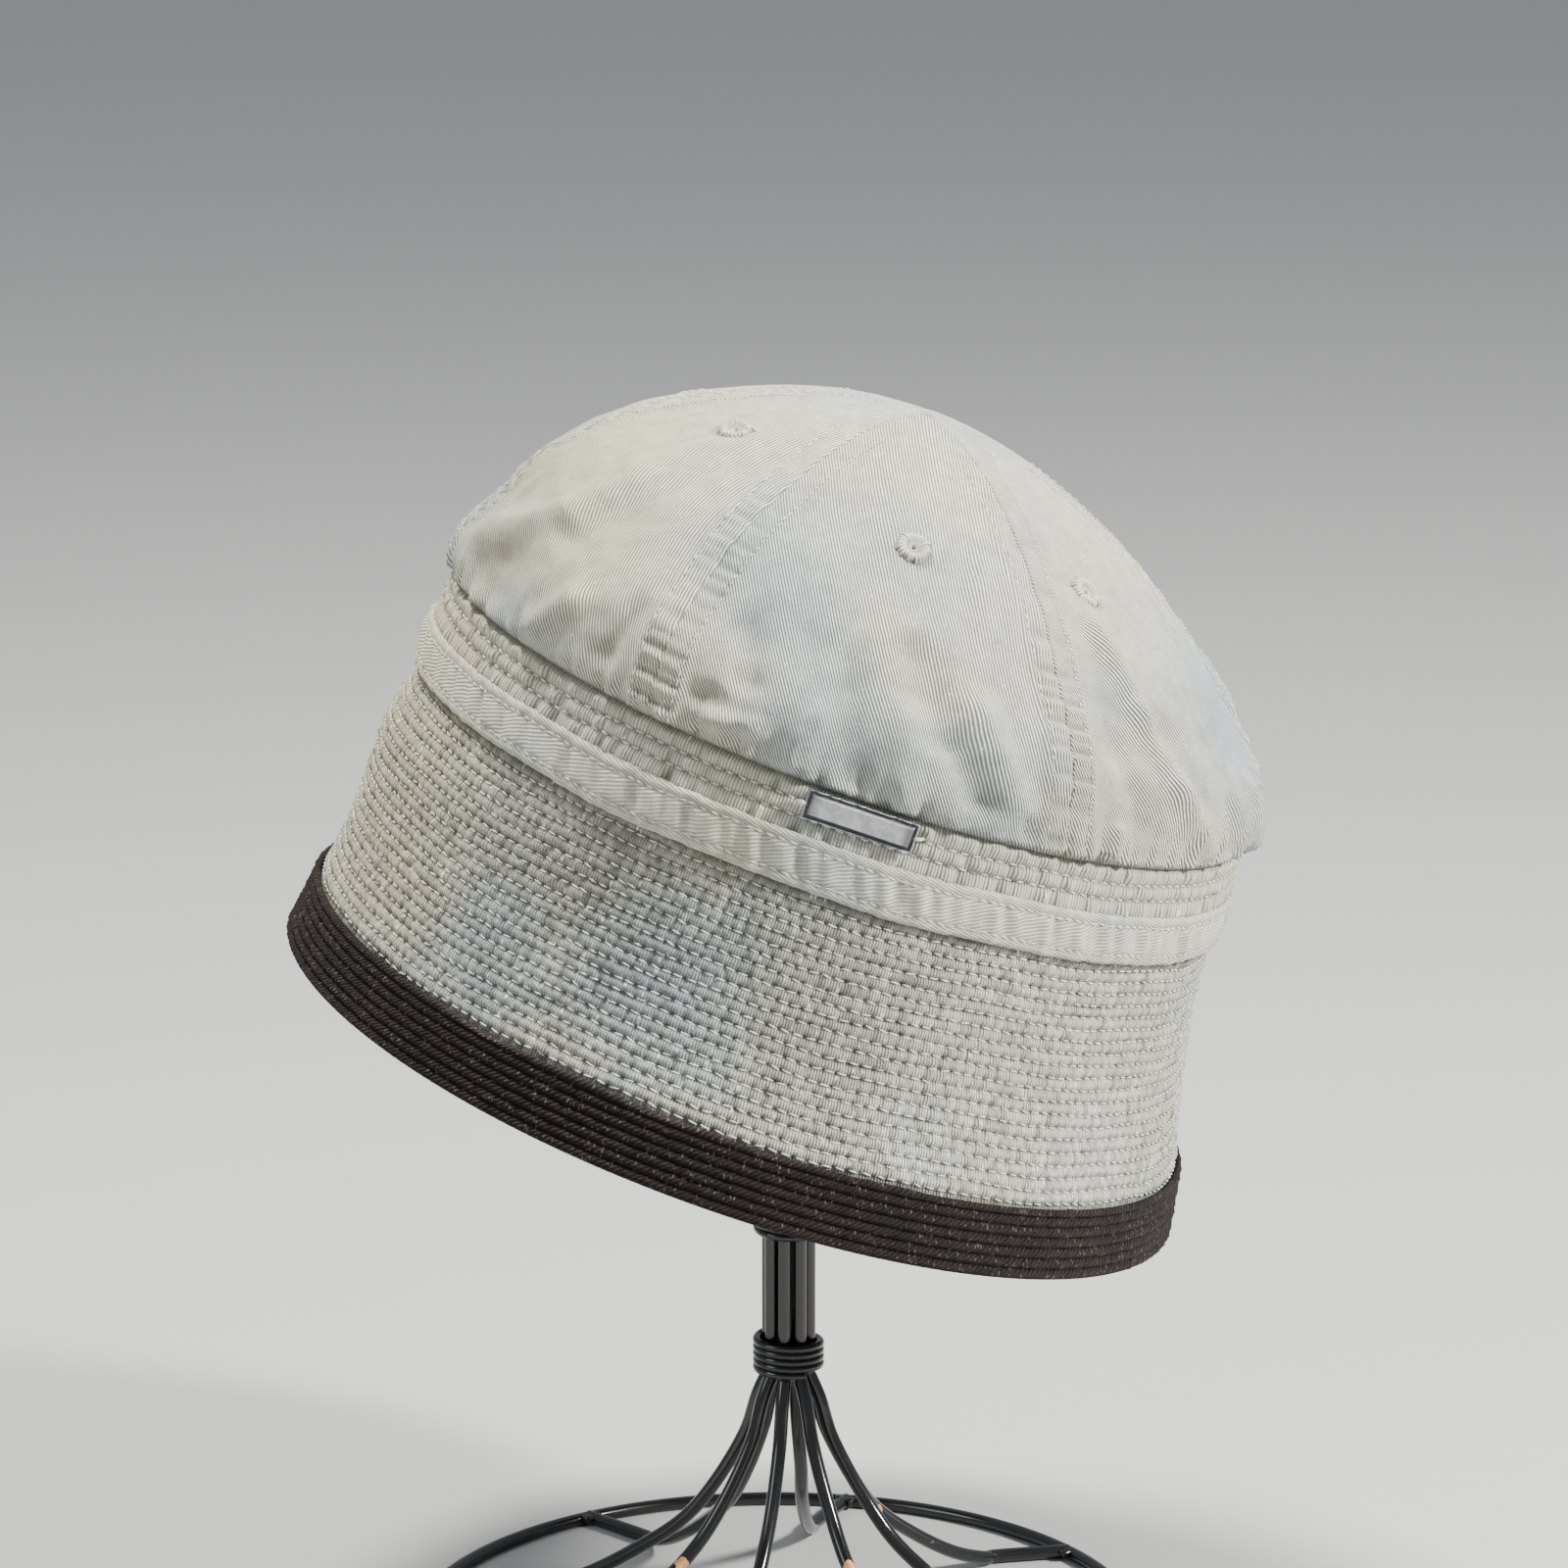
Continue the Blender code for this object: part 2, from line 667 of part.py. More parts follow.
def make_wire(number, cap_level, material, collection, stand):
    # One stand wire: ring joint, spoke, leg, neck, balloon head
    joint = JOINT_TURN + (number - 1) * 360.0 / WIRES
    leg_turn = joint + LEG_BENDS[number - 1]
    floor = WIRE_THICKNESS / 2 + FOOT_LIFT
    touch = around_axis(leg_turn, TOUCH_RADIUS, floor)
    ring_point = around_axis(joint, RING_RADIUS, floor) - Vector((RING_SHIFT, 0.0, 0.0))
    outward = around_axis(joint, 1.0, 0.0)
    skew = math.sin(outward.angle(ring_point - touch))
    ring_point -= outward * (WIRE_THICKNESS / 2 * (1 + skew) + GAP)
    corners = [ring_point, touch]
    reach = TOUCH_RADIUS - NECK_RADIUS
    for out, up in reversed(LEG_PATH):
        radius = NECK_RADIUS + reach * out
        turn = joint + LEG_BENDS[number - 1] * smoothstep(out / BEND_SHARE)
        corners.append(around_axis(turn, radius, floor + (COLLAR_LOW - floor) * up))
    points = smooth_path(corners, 2)
    neck_top = COLLAR_HIGH + COLLAR_HEIGHT
    points.append(around_axis(joint, NECK_RADIUS, COLLAR_LOW + COLLAR_HEIGHT))
    points.append(around_axis(joint, NECK_RADIUS, COLLAR_HIGH))
    head_low = [around_axis(joint, NECK_RADIUS, neck_top)]
    head_height = cap_level - neck_top
    for up, out in HEAD_PATH:
        radius = NECK_RADIUS + (HEAD_RADIUS - NECK_RADIUS) * out
        head_low.append(around_axis(joint, radius, neck_top + head_height * up))
    return tube(f"stand_wire_{number}", points + head_low, WIRE_THICKNESS,
                material, collection, stand)


def make_collar(name, level, material, collection, stand):
    # A sleeve of wound wire turns round the neck
    inner = NECK_RADIUS + WIRE_THICKNESS / 2 + GAP
    outer = inner + COLLAR_WALL
    pitch = COLLAR_HEIGHT / COLLAR_TURNS
    section = []
    for turn in range(COLLAR_TURNS):
        low = pitch * turn
        section.append((outer - COLLAR_GROOVE, low))
        section.append((outer, low + pitch / 2))
    section.append((outer - COLLAR_GROOVE, COLLAR_HEIGHT))
    section += [(inner, COLLAR_HEIGHT), (inner, 0.0)]
    collar = turned_mesh(name, section, COLLAR_STEPS, collection)
    finish(collar, material)
    collar.parent = stand
    collar.location.z = level
    return collar


def make_cap(level, material, collection, stand):
    # A small dome on the wires' upper ends, where the crown rests
    section = [(0.0, 0.0), (CAP_RADIUS * CAP_FOOT, 0.0)]
    section += [(CAP_RADIUS * out, CAP_HEIGHT * up) for out, up in reversed(CAP_DOME)]
    cap = turned_mesh("head_cap", section, CAP_STEPS, collection)
    work = bmesh.new()
    work.from_mesh(cap.data)
    bmesh.ops.remove_doubles(work, verts=work.verts, dist=0.01 * MM)
    bmesh.ops.dissolve_degenerate(work, edges=work.edges, dist=0.001 * MM)
    loose = [edge for edge in work.edges if not edge.link_faces]
    bmesh.ops.delete(work, geom=loose, context="EDGES")
    work.to_mesh(cap.data)
    work.free()
    finish(cap, material)
    cap.parent = stand
    cap.location.z = level
    return cap


def crown_underside():
    # Height of the crown's inner face over the stand's cap, at its lowest place there
    matrix = hat_matrix()
    lowest = math.inf
    for turn in range(0, 360, TOP_TURN_STEP):
        for step in range(TOP_ROWS + 1):
            rise = TOP_FROM + (TOP_TO - TOP_FROM) * step / TOP_ROWS
            here, _, _, normal = crown_frame(turn, rise)
            inside = matrix @ (here - normal * CROWN_CLOTH)
            away = math.hypot(inside.x, inside.y)
            if away <= CAP_RADIUS:
                drop = CAP_HEIGHT * (1 - table_value(CAP_DOME, away / CAP_RADIUS))
                lowest = min(lowest, inside.z + drop)
    return lowest


def hat_matrix():
    tilt = Euler((math.radians(HAT_NOD), math.radians(HAT_TILT), 0.0))
    place = Vector((-HAT_LEFT, HAT_BACK, HAT_UP))
    return Matrix.Translation(place) @ tilt.to_matrix().to_4x4()


def stand_on_origin(root, collection):
    # Move everything so that the origin is under the middle of the bounding box
    bpy.context.view_layer.update()
    graph = bpy.context.evaluated_depsgraph_get()
    low = Vector((math.inf, math.inf, math.inf))
    high = -low
    for piece in collection.objects:
        if piece.type != "MESH":
            continue
        evaluated = piece.evaluated_get(graph)
        for vertex in evaluated.data.vertices:
            here = evaluated.matrix_world @ vertex.co
            for axis in range(3):
                low[axis] = min(low[axis], here[axis])
                high[axis] = max(high[axis], here[axis])
    root.location = (-(low.x + high.x) / 2, -(low.y + high.y) / 2, -low.z)


def main():
    clear_scene()
    collection = make_collection("sailor_hat_on_stand")
    cutters = make_collection("cutters")

    crown_cloth = make_material("crown_cloth", (0.52, 0.53, 0.46), 0.9)
    brim_cloth = make_material("brim_cloth", (0.45, 0.46, 0.38), 0.92)
    tape_cloth = make_material("tape_cloth", (0.47, 0.47, 0.40), 0.9)
    hem_cloth = make_material("hem_cloth", (0.045, 0.030, 0.028), 0.9)
    thread = make_material("thread", (0.55, 0.55, 0.47), 0.85)
    pewter = make_material("pewter", (0.42, 0.42, 0.43), 0.35, 1.0)
    enamel = make_material("black_enamel", (0.012, 0.012, 0.013), 0.18)

    root = make_empty("origin", collection)
    hat = make_empty("hat", collection, root)
    hat.matrix_local = hat_matrix()
    stand = make_empty("stand", collection, root)

    make_hem(hem_cloth, collection, hat)
    make_brim(brim_cloth, collection, hat)
    make_tape(tape_cloth, collection, hat)
    make_band(brim_cloth, collection, hat)
    for number in range(1, PANELS + 1):
        panel = make_panel(number, crown_cloth, collection, hat)
        make_eyelet(number, panel, thread, collection, cutters, hat)
    make_plate(pewter, collection, hat)
    make_stitches(thread, collection, hat)

    cap_level = crown_underside() - GAP - CAP_HEIGHT
    make_ring(enamel, collection, stand)
    wire_top = cap_level - GAP - WIRE_THICKNESS / 4
    for number in range(1, WIRES + 1):
        make_wire(number, wire_top, enamel, collection, stand)
    make_collar("collar_lower", COLLAR_LOW, enamel, collection, stand)
    make_collar("collar_upper", COLLAR_HIGH, enamel, collection, stand)
    make_cap(cap_level, enamel, collection, stand)

    stand_on_origin(root, collection)


main()
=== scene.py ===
# Soft cloth sailor hat, tilted on a black wire hat stand
import math

import bpy
import numpy as np
from mathutils import Euler, Matrix, Vector


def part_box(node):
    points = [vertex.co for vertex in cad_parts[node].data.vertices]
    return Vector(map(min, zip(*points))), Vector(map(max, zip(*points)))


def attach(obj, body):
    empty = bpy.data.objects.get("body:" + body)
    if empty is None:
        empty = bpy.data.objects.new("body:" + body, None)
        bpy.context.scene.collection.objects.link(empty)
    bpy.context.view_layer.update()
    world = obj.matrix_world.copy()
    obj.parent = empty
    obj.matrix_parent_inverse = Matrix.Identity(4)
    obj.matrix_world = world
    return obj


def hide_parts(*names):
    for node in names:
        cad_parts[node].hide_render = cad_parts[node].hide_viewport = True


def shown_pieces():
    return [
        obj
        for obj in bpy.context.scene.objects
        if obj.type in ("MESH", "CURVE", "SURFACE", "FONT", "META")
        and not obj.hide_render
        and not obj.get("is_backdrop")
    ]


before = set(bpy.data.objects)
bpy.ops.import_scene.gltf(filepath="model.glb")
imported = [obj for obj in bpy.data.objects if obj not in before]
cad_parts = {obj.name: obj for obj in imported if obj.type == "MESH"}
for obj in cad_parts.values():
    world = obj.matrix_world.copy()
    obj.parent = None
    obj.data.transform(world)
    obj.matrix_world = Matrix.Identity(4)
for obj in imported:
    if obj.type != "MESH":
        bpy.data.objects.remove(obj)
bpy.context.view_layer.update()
mm = 0.001
clothScale = 10.0               # flat cloth coordinates, per metre of cloth
clothToMm = 1 / (clothScale * mm)

# The stand's neck is the axis that everything is placed from
neckLow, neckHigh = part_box("collar_lower")
neckAxis = Vector(((neckLow[0] + neckHigh[0]) / 2, (neckLow[1] + neckHigh[1]) / 2, 0.0))
print("frame loaded")


# The photograph's camera
photoView = {
    "lens": 135.0,
    "sensor": 36.0,
    "elevation": 12.809,        # degrees, looking down
    "distance": 1354.95 * mm,
    "aimLeft": 1.1 * mm,        # from the neck's axis
    "aimUp": 205.944 * mm,
}


def addCamera():
    look = math.radians(photoView["elevation"])
    aim = neckAxis + Vector((-photoView["aimLeft"], 0.0, photoView["aimUp"]))
    back = Vector((0.0, -math.cos(look), math.sin(look))) * photoView["distance"]
    bpy.ops.object.camera_add(location=aim + back, rotation=(math.pi / 2 - look, 0.0, 0.0))
    camera = bpy.context.object
    camera.data.lens = photoView["lens"]
    camera.data.sensor_width = photoView["sensor"]
    camera.data.clip_end = 50.0
    bpy.context.scene.camera = camera


addCamera()
print("camera placed")


# Pale floor and soft studio light
studio = {
    "floorSize": 14.0,
    "floorColour": (0.46, 0.46, 0.46),
    "floorRoughness": 0.85,
    "worldColour": (0.84, 0.86, 0.90),
    "worldStrength": 0.54,
}
softLights = [
    # name, place, size, power, colour
    ("keyLight", (1.30, -0.50, 1.05), 0.26, 66.0, (1.0, 0.985, 0.95)),
    ("leftLight", (-1.30, -0.75, 0.95), 0.8, 7.0, (0.95, 0.97, 1.0)),
    ("topLight", (-0.20, 0.10, 1.50), 0.32, 41.0, (1.0, 0.985, 0.945)),
]


def addStudio():
    bpy.ops.mesh.primitive_plane_add(size=studio["floorSize"])
    floor = bpy.context.object
    floor.name = "studioFloor"
    paint = bpy.data.materials.new("paleFloor")
    paint.use_nodes = True
    shader = paint.node_tree.nodes["Principled BSDF"]
    shader.inputs["Base Color"].default_value = (*studio["floorColour"], 1.0)
    shader.inputs["Roughness"].default_value = studio["floorRoughness"]
    floor.data.materials.append(paint)
    floor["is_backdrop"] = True
    for name, place, size, power, colour in softLights:
        place = neckAxis + Vector(place)
        aim = neckAxis + Vector((0.0, 0.0, 0.18)) - place
        bpy.ops.object.light_add(type="AREA", location=place,
                                 rotation=aim.to_track_quat("-Z", "Y").to_euler())
        light = bpy.context.object
        light.name = name
        light.data.shape = "DISK"
        light.data.size = size
        light.data.energy = power
        light.data.color = colour
    world = bpy.data.worlds.new("studioWorld")
    world.use_nodes = True
    sky = world.node_tree.nodes["Background"]
    sky.inputs["Color"].default_value = (*studio["worldColour"], 1.0)
    sky.inputs["Strength"].default_value = studio["worldStrength"]
    bpy.context.scene.world = world


addStudio()
print("studio ready")


# How the hat sits, and the sizes that its pieces share
hat = {
    "left": 13.5 * mm,
    "back": 0.5 * mm,
    "up": 137.6 * mm,
    "tilt": 19.35,              # degrees over to the right
    "nod": 1.0,                 # degrees to the front
    "lean": 3.0 * mm,
    "hemOval": 0.016,
    "upperOval": 0.022,
    "gap": 0.35 * mm,
}
hem = {
    "radius": 109.6 * mm,
    "height": 15.6 * mm,
    "riseIn": 2.8 * mm,
    "cloth": 1.1 * mm,
    "ridges": 6,
    "ridgeDepth": 0.85 * mm,
    "lip": 1.6 * mm,            # height of the folded top edge
    "lipDepth": 0.75 * mm,
    "columns": 700,
}
brim = {
    "height": 54.3 * mm,
    "cloth": 2.0 * mm,
    "topLine": 0.29,
    "puff": 2.4 * mm,
    "puffTurn": -88.0,
    "puffSpread": 42.0,
    "puffLevel": 0.72,
    "rowPitch": 2.7 * mm,       # between two rows of stitches
    "firstRow": 0.7 * mm,       # lowest row above the hem
    "rowSteps": 4,
    "pillow": 0.64 * mm,        # how far the cloth puffs out between rows
    "pinch": 0.52 * mm,         # how far the needle holes pull it in
    "needle": 0.5 * mm,
    "rowWander": 0.5 * mm,
    "middleRadius": 101 * mm,
    "stitch": 2.4 * mm,
    "stitchPitch": 2.95 * mm,
    "thread": 0.22 * mm,
    "arch": 0.26 * mm,          # how high each stitch bows
    "tiltNoise": 0.09,
    "columns": 1040,
}
tape = {
    "radius": 96.8 * mm,
    "height": 11.5 * mm,
    "cloth": 1.2 * mm,
    "stitchIn": 2.3 * mm,       # stitch rows in from each long edge
    "edgeShear": 6.2,
    "stitch": 2.1 * mm,
    "stitchPitch": 2.6 * mm,
    "thread": 0.2 * mm,
    "arch": 0.26 * mm,
    "columns": 760,
}
band = {
    "height": 10.8 * mm,
    "cloth": 1.4 * mm,
    "tuck": 2.8 * mm,
    "valleys": (0.30, 0.62),    # stitch rows, as shares of its height
    "ridge": 0.85 * mm,
    "gather": 0.55 * mm,
    "stitch": 2.2 * mm,
    "stitchPitch": 2.9 * mm,
    "thread": 0.22 * mm,
    "arch": 0.26 * mm,
    "columns": 900,
}
crown = {
    "inset": 1.6 * mm,
    "height": 68.7 * mm,
    "cloth": 1.2 * mm,
    "lean": 6.0 * mm,
    "leanHaste": 0.9,
    "panels": 6,
    "start": -29.5,             # degrees to the first seam
    "foldStrength": 1.45,
    "allowance": 6.1 * mm,      # raised width on each side of a seam
    "allowanceRise": 0.45 * mm,
    "allowanceEdge": 1.1 * mm,  # over which it falls away
    "stitchLine": 5.3 * mm,     # thread row from the seam, on each side
    "puckerPitch": 6.8 * mm,
    "puckerDepth": 0.85 * mm,
    "puckerReach": 4.2 * mm,    # from the seam
    "slitWidth": 1.05 * mm,
    "tuckUnder": 1.3 * mm,
    "columns": 84,
    "seamColumns": 13,
    "rows": 160,
    "stitch": 1.7 * mm,
    "stitchPitch": 2.2 * mm,
    "thread": 0.16 * mm,
    "arch": 0.2 * mm,
}

# Crown profile: shares of its height and of its radius at the seam
crownProfile = [
    # rise, radius
    (0.000, 1.000),
    (0.080, 1.004),
    (0.170, 0.993),
    (0.260, 0.966),
    (0.340, 0.924),
    (0.510, 0.814),
    (0.650, 0.692),
    (0.760, 0.572),
    (0.846, 0.456),
    (0.914, 0.342),
    (0.962, 0.232),
    (0.990, 0.116),
    (1.000, 0.012),
]

# Broad swells and dents: degrees, rise, spreads, depth as a share of the crown's height
crownSwells = [
    # turn, rise, turnSpread, riseSpread, depth
    (-94.0, 0.30, 38.0, 0.12, -0.052),
    (-96.0, 0.10, 26.0, 0.08, 0.008),
    (-90.0, 0.76, 42.0, 0.20, 0.012),
    (-66.0, 0.10, 14.0, 0.10, -0.022),
    (84.0, 0.17, 30.0, 0.16, 0.030),
    (58.0, 0.30, 12.0, 0.22, -0.016),
    (14.0, 0.20, 6.0, 0.20, 0.013),
    (2.0, 0.22, 6.0, 0.18, -0.012),
    (-14.0, 0.15, 7.0, 0.16, 0.011),
    (140.0, 0.18, 16.0, 0.14, -0.018),
    (-150.0, 0.20, 18.0, 0.15, 0.015),
]

tapeLow = hem["height"] + brim["height"]
tapeHigh = tapeLow + tape["height"]
seamLevel = tapeHigh + band["height"]
bandLow = tapeLow + tape["height"] / 2
bandOuter = tape["radius"] - tape["cloth"] - hat["gap"]
crownRadius = tape["radius"] - crown["inset"]
bandInside = crownRadius - crown["cloth"] - 2 * hat["gap"]
crownClimb = 1.25 * crown["height"]     # from the seam to the tip along the cloth
panelWidth = 360.0 / crown["panels"]
hatTurn = Euler((math.radians(hat["nod"]), math.radians(hat["tilt"]), 0.0)).to_matrix()
hatPlace = neckAxis + Vector((-hat["left"], hat["back"], hat["up"]))


def smoothStep(value):
    value = np.clip(value, 0.0, 1.0)
    return value * value * (3 - 2 * value)


def bump(distance, width):
    return np.exp(-(distance / width) ** 2)


def turnGap(turn, other):
    return (turn - other + 180.0) % 360.0 - 180.0


def tableValue(table, x):
    # smooth line through the rows of a two-column table
    xs, ys = np.array(table).T
    slopes = np.empty(len(xs))
    slopes[1:-1] = (ys[2:] - ys[:-2]) / (xs[2:] - xs[:-2])
    slopes[0] = (ys[1] - ys[0]) / (xs[1] - xs[0])
    slopes[-1] = (ys[-1] - ys[-2]) / (xs[-1] - xs[-2])
    row = np.clip(np.searchsorted(xs, x) - 1, 0, len(xs) - 2)
    span = xs[row + 1] - xs[row]
    t = np.clip((x - xs[row]) / span, 0.0, 1.0)
    return ((2 * t**3 - 3 * t**2 + 1) * ys[row] + (t**3 - 2 * t**2 + t) * span * slopes[row]
            + (3 * t**2 - 2 * t**3) * ys[row + 1] + (t**3 - t**2) * span * slopes[row + 1])


def profileRadius(rise):
    return crownRadius * tableValue(crownProfile, rise)


def toRoom(points):
    # from the hat's own frame to the scene
    return points @ np.array(hatTurn).T + np.array(hatPlace)


def hatPoint(turn, radius, height):
    # degrees from the front, radius and height above the hem
    high = smoothStep(height / tapeLow)
    angle = np.radians(turn)
    oval = (hat["upperOval"] * high - hat["hemOval"] * (1 - high)) / 2
    radius = radius * (1 - oval * np.cos(2 * angle))
    upBrim = np.clip((height - hem["height"]) / brim["height"], 0.0, 1.0)
    level = brim["puffLevel"]
    swell = np.where(upBrim < level, smoothStep(upBrim / level),
                     smoothStep((1 - upBrim) / (1 - level)))
    across = turnGap(turn, brim["puffTurn"]) / brim["puffSpread"]
    radius = radius + brim["puff"] * swell * np.exp(-across**2)
    return np.stack([radius * np.sin(angle) - hat["lean"] * high,
                     -radius * np.cos(angle), height + 0.0 * angle], axis=-1)


def brimRadius(height):
    low = hem["radius"] - hem["riseIn"] - hem["cloth"] - hat["gap"]
    depth = np.clip((tapeLow - height) / brim["height"], 0.0, 1.0)
    insideHem = hem["riseIn"] * np.maximum(1 - height / hem["height"], 0.0)
    flare = (low - bandOuter) * (brim["topLine"] * depth + (1 - brim["topLine"]) * depth**2)
    return bandOuter + insideHem + flare


def ringNoise(turn, wavelength, seed, layer=0):
    # smooth random waves round the hat, about -1 to 1, other ones in each layer
    random = np.random.default_rng(seed)
    layer = np.asarray(layer, dtype=int)
    layers = int(layer.max()) + 1
    total = 0.0
    for share in (0.55, 0.78, 1.0, 1.27, 1.6):
        count = max(round(2 * math.pi * crownRadius / (wavelength * share)), 1)
        phase = random.uniform(0.0, 2 * math.pi, layers)
        total = total + np.cos(np.radians(turn) * count + phase[layer])
    return total / 2.6


def clothNoise(turn, rise, wavelength, seed):
    # random folds of the crown that run every way
    random = np.random.default_rng(seed)
    total = 0.0
    for wave in range(7):
        heading = random.uniform(0.0, math.pi)
        around = round(2 * math.pi * crownRadius / wavelength * math.cos(heading))
        up = 1.6 * crown["height"] / wavelength * math.sin(heading)
        phase = random.uniform(0.0, 2 * math.pi)
        total = total + np.cos(np.radians(turn) * around + 2 * math.pi * up * rise + phase)
    return total / 3.0


def unit(vectors):
    return vectors / np.maximum(np.linalg.norm(vectors, axis=-1, keepdims=True), 1e-12)


def ready(piece, name, material, slot, *nodes):
    # name, finish and place in the frame of a new piece
    piece.name = piece.data.name = name
    piece.data.materials.append(material)
    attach(piece, "root")
    if nodes:
        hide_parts(*nodes)
    return piece


def selectOnly(piece):
    bpy.ops.object.select_all(action="DESELECT")
    piece.select_set(True)
    bpy.context.view_layer.objects.active = piece


def addShape(addPrimitive, **settings):
    # one of Blender's primitives, selected by itself
    bpy.ops.object.select_all(action="DESELECT")
    addPrimitive(**settings)
    return bpy.context.object


def addObject(data):
    # an object for a mesh or curve made in code, selected by itself
    piece = bpy.data.objects.new(data.name, data)
    bpy.context.scene.collection.objects.link(piece)
    selectOnly(piece)


def editAll(*steps):
    # edit steps on the whole mesh of the selected piece
    bpy.ops.object.mode_set(mode="EDIT")
    bpy.ops.mesh.select_all(action="SELECT")
    for step in steps:
        step()
    bpy.ops.object.mode_set(mode="OBJECT")


def insetTop(piece, insets):
    # insets of the face that looks up, each with a width and a rise
    bpy.ops.object.mode_set(mode="EDIT")
    bpy.ops.mesh.select_all(action="DESELECT")
    bpy.ops.object.mode_set(mode="OBJECT")
    for face in piece.data.polygons:
        face.select = face.normal.z > 0.9
    bpy.ops.object.mode_set(mode="EDIT")
    for width, rise in insets:
        bpy.ops.mesh.inset(thickness=width, depth=rise)
    bpy.ops.object.mode_set(mode="OBJECT")


def applyModifier(piece, kind, **settings):
    modifier = piece.modifiers.new(kind, kind)
    for key, value in settings.items():
        setattr(modifier, key, value)
    selectOnly(piece)
    bpy.ops.object.modifier_apply(modifier=modifier.name)


def setPaintedShade(mesh, sink):
    # painted shade of each point, with some random darkening, which the materials mix in as a
    # darker colour
    mesh.attributes.new("sink", "FLOAT", "POINT").data.foreach_set(
        "value", np.asarray(sink, dtype=np.float32))


def makeGrid(columns, rows, shape):
    # a plane of cloth laid where shape says, with its own flat cloth coordinates
    piece = addShape(bpy.ops.mesh.primitive_grid_add, x_subdivisions=columns,
                     y_subdivisions=rows, size=1.0)
    mesh = piece.data
    flat = np.empty(len(mesh.vertices) * 3, dtype=np.float32)
    mesh.vertices.foreach_get("co", flat)
    places = (flat.reshape(-1, 3)[:, :2] + 0.5) * (columns, rows)
    points, cloth, sink = shape(*np.rint(places).astype(int).T)
    mesh.vertices.foreach_set("co", toRoom(points).astype(np.float32).ravel())
    corner = np.empty(len(mesh.loops), dtype=np.int32)
    mesh.loops.foreach_get("vertex_index", corner)
    mesh.uv_layers.active.data.foreach_set(
        "uv", (clothScale * cloth[corner]).astype(np.float32).ravel())
    setPaintedShade(mesh, sink)
    mesh.update()
    editAll(lambda: bpy.ops.mesh.remove_doubles(threshold=0.002 * mm))
    bpy.ops.object.shade_smooth()
    return piece


def makeHatRing(columns, section, relief, shear=np.zeros_like):
    # a closed section (radius, height) taken once round the hat; relief moves it out and up,
    # shear slides the weave of each row of the section round the hat
    radii, heights = np.array(section + section[:1]).T
    steps = np.hypot(np.diff(radii), np.diff(heights))
    along = np.concatenate([[0.0], np.cumsum(steps)])
    slide = shear(along)

    def shape(column, row):
        turn = 360.0 * (column % columns) / columns - 180.0
        out, up, sink = relief(turn, row % len(section))
        points = hatPoint(turn, radii[row] + out, heights[row] + up)
        around = 2 * math.pi * radii.max() * column / columns + slide[row]
        return points, np.stack([around, along[row]], axis=-1), sink

    return makeGrid(columns, len(section), shape)


def stitchRow(surface, turns, tiltNoise, seed):
    # places, headings and outward sides of the stitches of one row on surface(turn)
    along = unit(surface(turns + 0.3) - surface(turns - 0.3))
    up = np.array([0.0, 0.0, 1.0])
    tilt = np.random.default_rng(seed).normal(-0.06, tiltNoise, len(turns))[:, None]
    return surface(turns), along + tilt * up, np.cross(along, up)


def ringStitches(name, sizes, surfaces, tilt, seed, radius):
    # one thread row on each surface, with a random start and small faults
    rows = []
    count = round(2 * math.pi * radius / sizes["stitchPitch"])
    for number, surface in enumerate(surfaces):
        random = np.random.default_rng(seed + number)
        start = random.uniform(0.0, 1.0)
        turns = 360.0 * (np.arange(count) + start + random.normal(0.0, 0.05, count)) / count
        rows.append(stitchRow(surface, turns - 180.0, tilt, seed + 10 + number))
    sewRows(name, sizes, rows)


def sewRows(name, sizes, rows):
    # one stitch, a stretched ball bowed so that its ends dive into the cloth, is copied to
    # every place of the rows and turned along them, in one mesh
    ball = addShape(bpy.ops.mesh.primitive_uv_sphere_add, segments=5, ring_count=4, radius=1.0,
                    rotation=(0.0, math.pi / 2, 0.0))
    bpy.ops.object.transform_apply(location=False, rotation=True, scale=False)
    x, y, z = np.array([vertex.co for vertex in ball.data.vertices]).T[..., None]
    faces = [tuple(face.vertices) for face in ball.data.polygons]
    bpy.data.objects.remove(ball, do_unlink=True)
    fatness = sizes["thread"] * (0.75 + 0.25 * (1 - x**2))
    places, along, outward = (np.concatenate(part) for part in zip(*rows))
    along = unit(along)
    outward = unit(outward - (outward * along).sum(-1, keepdims=True) * along)
    across = np.cross(outward, along)
    points = (places[:, None, :] + x * sizes["stitch"] / 2 * along[:, None, :]
              + y * fatness * across[:, None, :]
              + (z * fatness + sizes["arch"] * (1 - x**2)) * outward[:, None, :])
    mesh = bpy.data.meshes.new(name)
    mesh.from_pydata(toRoom(points.reshape(-1, 3)).tolist(), [],
                     [tuple(corner + len(x) * copy for corner in face)
                      for copy in range(len(places)) for face in faces])
    mesh.update()
    addObject(mesh)
    bpy.ops.object.shade_smooth()
    ready(bpy.context.object, name, paleThread, "thread")


def hatMatrix(middle, *axes):
    # a piece's own x, y and z laid along three axes at one place of the hat
    facing = Matrix([hatTurn @ Vector(axis) for axis in axes]).transposed().to_4x4()
    return Matrix.Translation(Vector(toRoom(middle))) @ facing


